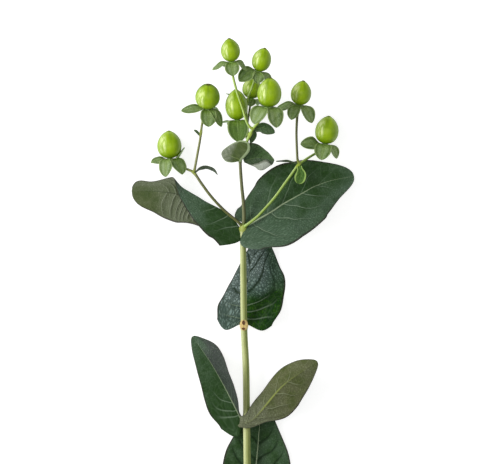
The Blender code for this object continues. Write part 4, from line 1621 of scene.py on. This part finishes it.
@dataclass(frozen=True)
class Blade:
    """A leaf or bract: the path of its midrib, its two halves and its roll about the midrib.

    reach is how far its base goes back into the stem, and floor is the height that it stays
    above.  quilt is the height of the humps between the lateral veins, which come in over
    quilt_width from the midrib and fade out over fade of the width from rim_from and of the
    length from tip_from.  loop is how far the laterals bend on at the margin, and lobe_length
    the share of the length over which the base's lobes reach back.
    """

    name: str
    facing: Face
    slot: str
    midrib: tuple[Point, ...]
    left: Half
    right: Half
    roll: tuple[float, ...] = (0.0, 0.0)
    floor: float = 0.0
    thickness: float = 0.5
    rows: int = 100
    columns: int = 28
    loop: float = 6.0
    quilt: float = 0.16
    wave: tuple[float, float, float] = (0.4, 2.3, 0.0)
    rib_height: float = 0.45
    rib_tones: tuple[float, ...] = (1.0, 0.6, 0.3)
    reach: float = 0.0
    upper: LeafFinish = LEAF_UPPER
    under: LeafFinish = LEAF_UNDER
    row_spread: float = 1.3
    column_spread: float = 1.15
    lobe_length: float = 0.3
    quilt_width: float = 2.5
    rim_from: float = 0.8
    tip_from: float = 0.7
    fade: float = 0.2
    rib_half_width: float = 0.55
    rib_groove: float = 0.14

    def station(self, path: Path, row: int) -> Station:
        """Find where one row of the blade lies.

        Args:
            path: the midrib.
            row: the row's number from the base.

        Returns:
            The row's station.
        """
        position = 1.0 - (1.0 - TIP_SHARE * row / self.rows) ** self.row_spread
        origin = path.point(position)
        tangent = path.tangent(position)
        if row == 0:
            origin = origin - tangent * self.reach
        level = UP.cross(tangent).normalized()
        roll = math.radians(blend(self.roll, position))
        side = level * math.cos(roll) + tangent.cross(level) * math.sin(roll)
        normal = tangent.cross(side)
        return Station(origin, side, normal, tangent, position * path.length, position)

    def spot(self, station: Station, half: Half, sign: float, facts: tuple[float, float, float],
             share: float) -> Spot:
        """Find one point of the blade.

        Args:
            station: where its row lies.
            half: the half that the point is in.
            sign: 1 on the left, -1 on the right.
            facts: distance, lift and flat distance from the midrib.
            share: share of the half's width.

        Returns:
            The point with its thickness and the attributes that finishes read.
        """
        distance, lift, flat = facts
        along, position = station.along, station.position
        bow = math.sin(math.pi * share ** (math.log(0.5) / math.log(half.lobe_at)))
        back = half.lobe * bow * ease(1.0 - position / self.lobe_length)
        start = along - blend(half.sweep, position) * flat
        start = start - self.loop * half.curl * share ** 3 - back
        order = half.vein_order(start)
        out = 1.0 if self.facing is Face.UPPER else -1.0
        hump = 0.5 + 0.5 * math.cos(math.tau * order)
        bulge = self.quilt * (hump - 0.5) * ease(flat / self.quilt_width)
        bulge *= 1.0 - ease((share - self.rim_from) / self.fade)
        bulge *= half.strength * (1.0 - ease((position - self.tip_from) / self.fade))
        amount, cycles, phase = self.wave
        wave = amount * share ** 2 * math.sin(math.tau * cycles * position + phase + sign)
        rib = math.exp(-((flat / (self.rib_half_width * (RIB_TAPER - position))) ** 2))
        rib *= 1.0 - position ** 3
        place = station.origin + station.side * (sign * distance)
        place = place + station.normal * (lift + out * bulge + wave) - station.tangent * back
        place.z = max(place.z, self.floor)
        half_thick = half_thickness(self.thickness, share)
        groove = half_thick - self.rib_groove * rib
        ridge = half_thick + self.rib_height * rib
        above, below = (groove, ridge) if self.facing is Face.UPPER else (ridge, groove)
        return Spot(place, above, below,
                    (along + back, sign * flat, blend(self.rib_tones, position)),
                    (position, share, half.wax_and_sheen_at(position, share, flat)),
                    (order, half.vein_spacing(start), half.strength))

    def build(self) -> None:
        """Build the blade with its two finishes."""
        path = Path(self.midrib)
        shares = [(column / self.columns) ** self.column_spread
                  for column in range(1, self.columns + 1)]
        grid = []
        for row in range(self.rows + 1):
            station = self.station(path, row)
            left, right = (
                [self.spot(station, half, sign, facts, share)
                 for facts, share in zip(half.across(station.position, shares), shares)]
                for half, sign in ((self.left, 1.0), (self.right, -1.0)))
            middle = self.spot(station, self.left, 1.0, (0.0, 0.0, 0.0), 0.0)
            grid.append(left[::-1] + [middle] + right)
        shell = Shell()
        shell.add_sheet(grid)
        pair = (dress(self.upper), dress(self.under))
        if self.facing is Face.UNDER:
            pair = pair[::-1]
        piece = show(f"{self.name}_blade", shell.mesh(self.name, pair))
        settle(piece, self.name)


# --------------------------------------------------------------------- studio


@dataclass(frozen=True)
class Lamp:
    """A soft light: its place in metres, its length along the stem and height, and its power."""

    name: str
    place: Point
    size: tuple[float, float]
    power: float
    aim: Point = (0.0, 0.08, 0.01)

    def build(self) -> None:
        """Build the light, aimed at the berries and unseen by the camera."""
        lamp = bpy.data.lights.new(self.name, "AREA")
        lamp.shape = "RECTANGLE"
        lamp.size, lamp.size_y = self.size
        lamp.energy = self.power
        stand = bpy.data.objects.new(self.name, lamp)
        bpy.context.scene.collection.objects.link(stand)
        stand.location = self.place
        aim = Vector(self.aim) - Vector(self.place)
        stand.rotation_euler = aim.to_track_quat("-Z", "Y").to_euler()
        stand.visible_camera = False


@dataclass(frozen=True)
class Studio:
    """The camera, the pale surface, the white world and the soft lights, in metres."""

    target: Point = (-0.0015, 0.054, 0.010)
    view_width: float = 0.240
    distance: float = 5.0
    sensor: float = 36.0
    clip_end: float = 50.0
    surface_size: float = 12.0
    world: float = 0.32
    lamps: tuple[Lamp, ...] = (
        Lamp("window", (-0.9, 0.25, 0.8), (1.3, 0.5), 14.0),
        Lamp("front", (0.1, 0.1, 1.6), (0.9, 0.9), 5.0),
        Lamp("side", (0.95, 0.2, 0.5), (0.6, 0.6), 1.0))

    def build(self) -> None:
        """Build the camera, surface, world and lights."""
        scene = bpy.context.scene
        camera = bpy.data.cameras.new("camera")
        camera.sensor_width = self.sensor
        camera.lens = self.sensor * self.distance / self.view_width
        camera.clip_end = self.clip_end
        eye = bpy.data.objects.new("camera", camera)
        scene.collection.objects.link(eye)
        eye.location = Vector(self.target) + UP * self.distance
        scene.camera = eye
        half = self.surface_size / 2.0
        mesh = bpy.data.meshes.new("surface")
        corners = [(-half, -half, 0.0), (half, -half, 0.0), (half, half, 0.0), (-half, half, 0.0)]
        mesh.from_pydata(corners, [], [(0, 1, 2, 3)])
        mesh.materials.append(dress(SURFACE_WHITE))
        show("surface", mesh)
        world = bpy.data.worlds.new("studio")
        world.use_nodes = True
        ground = world.node_tree.nodes["Background"]
        ground.inputs["Color"].default_value = (1.0, 1.0, 1.0, 1.0)
        ground.inputs["Strength"].default_value = self.world
        scene.world = world
        scene.view_settings.view_transform = "Standard"
        for lamp in self.lamps:
            lamp.build()


# --------------------------------------------------------------- the stem's parts


BERRIES = (
    Berry(1, (-6.3, 144.7, 27.0), -6.6, 15.0, 9.5, 11.6,
          (Sepal(2, 8.7, 2.3, 22, 20), Sepal(88, 7.2, 3.7, 80), Sepal(172, 7.4, 2.5, 56, 15),
           Sepal(235, 6.5, 2.8, 40), Sepal(300, 6.5, 2.8, 40)), peak=0.14),
    Berry(2, (9.35, 140.0, 22.0), 15.7, 15.0, 9.45, 11.8,
          (Sepal(28, 10.0, 4.0, 52, 40, 0.35), Sepal(100, 6.0, 3.2, 75),
           Sepal(160, 9.5, 3.0, 45, 15), Sepal(235, 6.5, 2.8, 40), Sepal(312, 6.5, 2.8, 40)),
          seam_turn=0.8, peak=0.08),
    Berry(3, (-17.65, 121.8, 19.0), 3.0, 28.0, 12.2, 12.8,
          (Sepal(8, 11.2, 2.8, 7, 25), Sepal(100, 9.0, 4.2, 62), Sepal(146, 10.8, 2.8, 54, 10),
           Sepal(232, 7.0, 3.0, 40), Sepal(302, 7.0, 3.0, 40)), seam_turn=1.4, peak=-0.02),
    Berry(4, (-3.25, 117.5, 16.0), -3.0, 4.0, 11.15, 15.0,
          (Sepal(92, 12.4, 5.4, 82, 0, -0.4), Sepal(172, 4.5, 2.6, 80), Sepal(258, 6.0, 2.8, 35),
           Sepal(305, 6.0, 2.8, 35), Sepal(346, 6.4, 2.4, 4)), seam_turn=2.0, peak=0.1),
    Berry(5, (13.15, 123.5, 30.0), 4.0, 10.0, 12.0, 14.4,
          (Sepal(42, 11.0, 4.7, 58, 25, 0.9), Sepal(128, 11.4, 4.6, 70, 15, 0.65),
           Sepal(196, 6.5, 3.0, 30), Sepal(268, 6.5, 3.2, 40), Sepal(334, 6.5, 3.2, 30)),
          seam_turn=2.6, peak=0.04),
    Berry(6, (29.05, 123.5, 17.0), 10.7, 15.0, 10.15, 12.2,
          (Sepal(6, 10.2, 3.0, 34, 25), Sepal(66, 8.4, 3.4, 72), Sepal(146, 10.4, 4.0, 48, 20),
           Sepal(235, 6.5, 2.8, 40), Sepal(305, 6.5, 2.8, 40)), seam_turn=0.4, peak=0.14),
    Berry(7, (-36.85, 97.65, 6.1), -2.3, 3.0, 12.1, 13.6,
          (Sepal(66, 10.4, 3.7, 78, 0, 1.0), Sepal(132, 10.8, 4.4, 58, 10, 0.35),
           Sepal(184, 8.6, 3.0, -58), Sepal(312, 5.0, 2.6, 40), Sepal(3, 7.8, 3.0, 10, 35)),
          seam_turn=1.1),
    Berry(8, (42.05, 105.0, 5.9), 7.9, 3.0, 11.65, 13.8,
          (Sepal(14, 10.8, 3.9, 8, 55), Sepal(82, 9.5, 4.4, 76), Sepal(152, 8.6, 3.4, 56, 15),
           Sepal(228, 5.0, 2.6, 40), Sepal(312, 5.0, 2.6, 40)), seam_turn=1.7, peak=0.08),
    Berry(9, (4.5, 126.0, 6.6), 5.0, 2.0, 9.5, 10.4,
          (Sepal(4, 11.0, 2.2, -14), Sepal(90, 4.2, 2.6, 75), Sepal(160, 6.0, 2.6, 35),
           Sepal(232, 5.0, 2.5, 40), Sepal(308, 5.0, 2.5, 40)), seam_turn=2.3),
)

CENTRE_RADII = (0.95, 0.85, 0.8, 0.75, 0.65)
STOUT_RADII = (0.62, 0.62, 0.6, 0.6, 0.62)
SIDE_RADII = (0.75, 0.7, 0.7, 0.65, 0.6)
PEDICEL_RADII = (0.55, 0.5, 0.5, 0.5, 0.55)
RIGHT_RADII = (0.62, 0.6, 0.62, 0.7)

CENTRE_BRANCH = Branch(
    "centre_branch",
    ((0.1, 56.75, 13.6), (0.5, 61.0, 14.3), (0.2, 68.75, 15.3), (-0.7, 77.7, 16.4),
     (-1.4, 89.0, 17.8), (-0.8, 92.4, 18.6), (2.3, 100.0, 21.4), (4.8, 105.2, 23.2),
     (7.85, 109.0, 25.3), (11.2, 113.2, 27.4)),
    CENTRE_RADII, CENTRE_OLIVE, "stem_green", 5, ((-1.4, 90.4, 18.1), (3.4, 102.6, 22.4)),
    top=CENTRE_LIME, top_from=38.0)
LEFT_BRANCH = Branch(
    "left_branch",
    ((-1.8, 58.4, 14.9), (-3.5, 59.9, 15.3), (-9.7, 65.1, 15.8), (-15.9, 71.75, 15.8),
     (-20.85, 78.4, 14.4), (-24.3, 83.4, 12.2), (-27.0, 85.0, 9.2),
     (-30.0, 86.0, 5.8), (-34.6, 87.4, 4.7)),
    SIDE_RADII, BRANCH_OLIVE, "branch_olive", 7, ((-24.3, 83.6, 12.2),))
RIGHT_BRANCH = Branch(
    "right_branch",
    ((1.8, 57.5, 15.6), (6.9, 61.4, 16.2), (12.25, 67.0, 15.9), (16.7, 72.3, 15.5),
     (21.2, 78.6, 15.0), (24.75, 83.5, 14.6), (27.75, 87.5, 13.8),
     (31.9, 90.6, 11.4), (36.2, 93.2, 8.0), (40.0, 95.2, 6.0)),
    SIDE_RADII, BRANCH_GREEN, "branch_green", 8, ((27.4, 87.3, 13.9),))

# Each stalk grows from one of the three branches.
CENTRE_STALKS = (
    Branch("pedicel_1", ((3.45, 106.3, 24.3), (1.7, 109.2, 24.8), (0.0, 115.0, 25.2),
                         (-3.2, 124.5, 26.0), (-5.3, 133.0, 25.4)),
           STOUT_RADII, CENTRE_LIME, "branch_green", 1),
    Branch("pedicel_2", ((2.5, 103.1, 20.2), (2.3, 107.5, 16.0), (1.8, 114.0, 12.3),
                         (2.4, 120.5, 13.2), (4.6, 126.5, 15.5), (6.3, 130.9, 18.4)),
           PEDICEL_RADII, CENTRE_LIME, "branch_olive", 2),
    Branch("pedicel_4", ((-2.3, 91.7, 16.5), (-2.7, 98.0, 15.8), (-2.9, 105.0, 15.4)),
           PEDICEL_RADII, BRANCH_OLIVE, "branch_olive", 4),
    Branch("pedicel_9", ((1.9, 100.9, 19.9), (1.8, 103.0, 16.0), (2.4, 109.0, 9.6),
                         (3.3, 115.5, 6.8)),
           PEDICEL_RADII, BRANCH_OLIVE, "branch_olive", 9),
)
LEFT_STALK = Branch(
    "pedicel_3", ((-24.2, 85.2, 12.9), (-22.7, 93.2, 14.6), (-21.45, 100.1, 16.0),
                  (-20.5, 107.5, 16.2), (-19.4, 112.6, 14.8)),
    STOUT_RADII, PEDICEL_OLIVE, "branch_olive", 3, ((-21.3, 103.6, 16.1),))
RIGHT_STALK = Branch(
    "pedicel_6", ((27.5, 89.4, 14.2), (27.1, 92.0, 14.6), (26.7, 103.5, 15.6),
                  (27.1, 112.0, 15.0)),
    RIGHT_RADII, BRANCH_OLIVE, "branch_olive", 6)

RIBBED_VEINS = (1.0, 5.0, 9.0, 12.5, 15.5, 18.0, 20.5, 23.0, 25.5, 28.0, 31.0, 35.0, 40.0, 47.0,
                56.0)

LEAVES = (
    Blade("leaf_top_right", Face.UPPER, "leaf_upper",
          ((3.0, 57.7, 13.0), (14.0, 63.9, 12.2), (20.3, 68.1, 11.6), (30.1, 73.6, 10.2),
           (35.9, 76.8, 9.4), (44.9, 79.9, 8.2), (55.6, 81.9, 7.0)),
          Half((11.0, 15.4, 18.2, 18.0, 14.4, 9.6, 7.6), (0.0, 4.0, 2.0), lobe=3.0,
               veins=(1.0, 10.5, 20.0, 30.0, 41.0, 56.0), strength=0.5, sweep=(0.3, 0.8, 1.4, 1.6),
               curl=0.5, wax_and_sheen=(0.65, 0.55, 0.2, 0.05, 0.15, 0.5)),
          Half((17.0, 21.2, 20.3, 18.6, 15.5, 11.0, 8.0), (6.0, 4.0, -4.0), lobe=7.5, lobe_at=0.5,
               veins=(1.3, 12.5, 20.5, 31.0, 40.0, 48.0, 57.0),
               sweep=(0.55, 0.55, 1.1, 1.5, 1.6), curl=0.9,
               wax_and_sheen=(1.1, 0.8, 0.45, 0.3, 0.3, 0.5), rim_wax_and_sheen=0.35),
          roll=(-30.0, -17.0, -10.0, -6.0), rib_tones=(1.0, 0.95, 0.8, 0.6, 0.45, 0.3, 0.2),
          reach=1.0),
    Blade("leaf_top_left", Face.UNDER, "leaf_under",
          ((-4.2, 54.8, 11.6), (-9.2, 60.6, 11.4), (-19.2, 66.8, 11.0), (-29.0, 71.9, 10.2),
           (-41.5, 74.2, 9.0), (-55.7, 74.5, 7.0)),
          Half((7.0, 9.5, 10.5, 13.8, 13.6, 11.2, 10.8), (-12.0, -10.0, -4.0),
               veins=RIBBED_VEINS, sweep=(0.4, 0.4), curl=-0.9,
               wax_and_sheen=(0.4, 0.4, 0.6, 0.95, 0.7, 0.2, 0.2)),
          Half((17.2, 18.7, 14.9, 10.8, 8.0, 5.4, 9.6), (0.0, 0.0),
               crease=(1.4, 1.5, 1.6, 1.3, 1.0, 1.1, 1.4, 2.9, 7.2, 10.0, 12.0, 13.0, 14.0),
               lobe=4.0, lobe_at=0.4, strength=0.8,
               veins=(-0.5, 5.6, 14.0, 22.0, 26.0, 29.0, 32.0, 35.0, 39.0, 45.0, 53.0),
               sweep=(0.35, 0.5, 0.9), curl=1.0,
               wax_and_sheen=(-0.6, -0.4, 0.2, 0.5, 0.6, 0.5, 0.3), rim_wax_and_sheen=0.45, fold_sheen=0.4),
          columns=40, quilt=0.26, rib_height=-0.15, rib_tones=(0.9, 0.7, 0.4), reach=1.6,
          upper=LEAF_GREY_SHEEN, under=LEAF_RIBBED),
    Blade("leaf_behind_middle", Face.UPPER, "leaf_upper",
          ((0.5, 8.2, 7.9), (1.4, 17.0, 3.6), (2.2, 27.0, -0.5), (4.0, 39.0, -0.5),
           (9.5, 53.5, 3.4)),
          Half((13.6, 13.9, 10.8, 7.4, 4.6, 3.4, 2.4), (6.0, 2.0, 8.0), lobe=5.0,
               sweep=(0.0, 0.33, 0.75, 1.6, 2.5), curl=0.0, wax_and_sheen=(1.0, 1.3, 1.3, 1.2)),
          Half((14.0, 17.6, 18.6, 18.7, 16.6, 12.0, 7.0), (6.0, 2.0, 8.0), lobe=3.2,
               veins=(2.6, 6.4, 10.0, 18.0, 27.0, 36.0, 48.0),
               sweep=(-0.05, 0.42, 1.08, 2.8, 3.5), curl=0.0,
               wax_and_sheen=(-1.2, -0.4, 0.9, 1.3, 1.25, 1.1), rim_wax_and_sheen=-0.8),
          floor=0.4, quilt=0.45, rib_tones=(0.25, 0.1), upper=LEAF_QUILTED),
    Blade("leaf_lower_left", Face.UPPER, "leaf_upper",
          ((-1.3, -38.6, 8.0), (-9.0, -23.6, 8.8), (-15.7, -12.0, 8.8), (-21.5, -3.6, 8.0),
           (-25.2, 1.8, 7.0)),
          Half((11.6, 13.3, 12.3, 10.2, 8.2, 5.9, 3.8), (-14.0, -10.0, -6.0), lobe=7.0,
               lobe_at=0.5,
               veins=(1.3, 3.8, 8.1, 15.0, 23.0, 32.0, 42.0), strength=0.8,
               sweep=(-0.3, 0.5, 1.5, 1.6, 1.6, 1.6), curl=0.3,
               wax_and_sheen=(0.0, 0.1, 0.25, 0.4)),
          Half((2.0, 9.0, 11.5, 11.0, 9.6, 7.2, 4.0), (84.0, 74.0, 68.0, 60.0, 40.0, 12.0, 0.0),
               strength=0.7, veins=(2.0, 6.0, 10.0, 14.0, 18.0, 22.0, 26.0, 30.0, 34.0, 38.0),
               wax_and_sheen=(1.7, 1.9, 1.7, 0.7), rim_wax_and_sheen=0.5),
          wave=(0.2, 2.0, 0.0), rib_tones=(0.9, 0.8, 0.5, 0.35, 0.1), reach=1.0,
          upper=LEAF_GREY_SHEEN),
    Blade("leaf_lower_right", Face.UNDER, "leaf_under",
          ((-0.6, -41.4, 11.3), (2.2, -41.2, 11.8), (5.6, -39.2, 12.4), (9.8, -34.6, 13.2),
           (19.2, -23.6, 14.4), (28.0, -16.8, 13.6), (37.2, -10.8, 12.0)),
          Half((3.4, 5.2, 7.0, 9.4, 10.4, 8.2, 4.6), (-4.0, -12.0, -44.0, -48.0, -36.0, -14.0),
               wax_and_sheen=(1.0, 0.9, 0.5, 0.2, 0.3, 0.4)),
          Half((2.4, 4.8, 11.4, 12.6, 11.2, 8.2, 5.0), (-8.0, -8.0, -6.0), lobe=1.0,
               wax_and_sheen=(1.0, 0.8, 0.4, 0.3, 0.4, 0.4)),
          wave=(0.2, 2.0, 1.0), rib_height=0.3, rib_tones=(0.0, 0.25, 0.9, 0.8, 0.35, 0.15, 0.0),
          reach=0.8),
    Blade("leaf_behind_bottom", Face.UPPER, "leaf_upper",
          ((2.6, -83.5, 2.5), (5.4, -72.0, 1.5), (7.2, -56.0, 1.2), (8.2, -44.0, 1.4),
           (9.5, -29.5, 3.0)),
          Half((11.0, 15.6, 16.6, 15.6, 12.0, 8.0, 4.0), (3.0, 4.0, 10.0), lobe=3.0,
               wax_and_sheen=(0.2, 0.2)),
          Half((12.0, 16.8, 17.8, 16.0, 11.8, 7.8, 4.0), (3.0, 4.0, 10.0), lobe=3.0,
               wax_and_sheen=(0.3, 0.3)),
          floor=0.3, wave=(0.25, 2.3, 0.0), quilt=0.3, rib_tones=(0.8, 0.8, 0.7), reach=1.0,
          upper=LEAF_SHADED),
)

BRACT_VEINS = (0.0, 3.0, 6.0, 9.0, 12.0, 16.0)
SMALL = {"rows": 34, "columns": 12, "loop": 1.4, "quilt": 0.05, "wave": (0.1, 2.0, 0.0),
         "rib_height": 0.15, "thickness": 0.45, "upper": BRACT_UPPER, "under": BRACT_UNDER,
         "rib_tones": (0.6, 0.3)}


def bract(name: str, facing: Face, slot: str, midrib: tuple[Point, ...], left: Half,
          right: Half | None = None, **changes: Any) -> Blade:
    """Make a small blade with the veins and measures that all bracts share.

    Args:
        name: its name.
        facing: which of its faces looks along its normal.
        slot: the name of its material slot, which is kept but not used.
        midrib: the points of its midrib.
        left: its left half.
        right: its right half, which mirrors the left one unless it is given.
        changes: what differs from SMALL.

    Returns:
        The bract.
    """
    halves = [replace(half, veins=BRACT_VEINS) for half in (left, right or left)]
    return Blade(name, facing, slot, midrib, *halves, **(SMALL | changes))


BRACTS = (
    bract("bract_centre_left", Face.UNDER, "leaf_under",
          ((-1.2, 90.1, 19.2), (-6.2, 92.0, 19.6), (-10.6, 93.8, 18.6)),
          Half((0.9, 2.8, 3.4, 2.4), (-10.0, -10.0), strength=0.4, wax_and_sheen=(-0.2, 0.6, 1.0)),
          Half((10.0, 9.4, 6.0, 3.0), (20.0, 14.0, 0.0), lobe=1.7, lobe_at=0.6, strength=0.4,
               wax_and_sheen=(-0.8, -0.2, 0.7, 1.0), rim_wax_and_sheen=0.2),
          reach=0.6, under=BRACT_PALE_RIM),
    bract("bract_centre_right", Face.UPPER, "leaf_upper",
          ((0.6, 89.4, 16.6), (6.0, 91.0, 16.0), (11.0, 90.8, 15.8), (15.6, 89.6, 15.8)),
          Half((6.2, 7.6, 4.2, 1.4), (6.0, 0.0), wax_and_sheen=(0.6, 0.3, 0.1)),
          Half((0.8, 5.8, 10.6, 11.4, 4.4), (0.0, 0.0), crease=(0.2, 2.7, 4.8, 4.1, 0.7),
               wax_and_sheen=(0.5, 0.8)),
          columns=24, under=BRACT_FLAP),
    bract("bract_upper_fork", Face.UPPER, "leaf_upper",
          ((6.6, 105.3, 22.0), (10.0, 106.0, 22.2), (15.8, 103.6, 22.0)),
          Half((1.4, 2.5, 2.3, 1.4)), Half((1.4, 2.7, 2.5, 1.4)), reach=1.2),
    bract("bract_upper_fork_small", Face.UPPER, "leaf_upper",
          ((4.9, 104.4, 21.4), (5.4, 102.8, 20.6), (4.6, 100.4, 19.8), (3.6, 98.2, 19.4)),
          Half((1.0, 1.5, 1.3, 0.6)), reach=0.8),
    bract("bract_left_fork", Face.UPPER, "leaf_upper",
          ((-23.0, 84.5, 14.0), (-21.3, 85.7, 14.8), (-18.2, 86.3, 15.4), (-15.0, 85.2, 15.6),
           (-12.8, 82.7, 15.2)),
          Half((0.8, 1.9, 2.2, 1.4)), roll=(60.0, 74.0), reach=1.4, upper=BRACT_DUSKY),
    bract("bract_right_fork_narrow", Face.UPPER, "leaf_upper",
          ((26.2, 88.4, 13.6), (22.0, 89.5, 13.0), (16.6, 89.3, 12.4)),
          Half((0.6, 0.9, 0.8, 0.5)), roll=(-55.0, -62.0), reach=1.2, upper=BRACT_DUSKY),
    bract("bract_right_fork_round", Face.UPPER, "sepal_green",
          ((28.4, 85.6, 14.8), (28.8, 82.4, 15.4), (27.6, 78.2, 14.6)),
          Half((1.2, 2.6, 2.8, 2.2), (14.0, 14.0)), reach=1.2, upper=BRACT_RIMMED),
    bract("bract_left_pedicel", Face.UPPER, "branch_green",
          ((-22.3, 103.2, 16.6), (-23.2, 104.2, 17.0), (-24.4, 104.9, 17.0)),
          Half((0.5, 0.55, 0.5, 0.35)), reach=1.0),
)


def main() -> None:
    """Build the dressed stem and its studio."""
    logging.basicConfig(level=logging.INFO, format="%(name)s: %(message)s")
    Studio().build()
    growth = StemGrowth()
    berries = {berry.number: berry for berry in BERRIES}
    stem = Stem()
    stem.build(growth)
    centre = CENTRE_BRANCH.build(growth, stem.path(), berries[CENTRE_BRANCH.berry])
    left = LEFT_BRANCH.build(growth, stem.path(), berries[LEFT_BRANCH.berry])
    right = RIGHT_BRANCH.build(growth, stem.path(), berries[RIGHT_BRANCH.berry])
    for stalk in CENTRE_STALKS:
        stalk.build(growth, centre, berries[stalk.berry])
    LEFT_STALK.build(growth, left, berries[LEFT_STALK.berry])
    RIGHT_STALK.build(growth, right, berries[RIGHT_STALK.berry])
    shapes = BerryGrowth()
    for berry in BERRIES:
        berry.build(shapes)
    for blade in (*LEAVES, *BRACTS):
        blade.build()


if __name__ == "__main__":
    main()
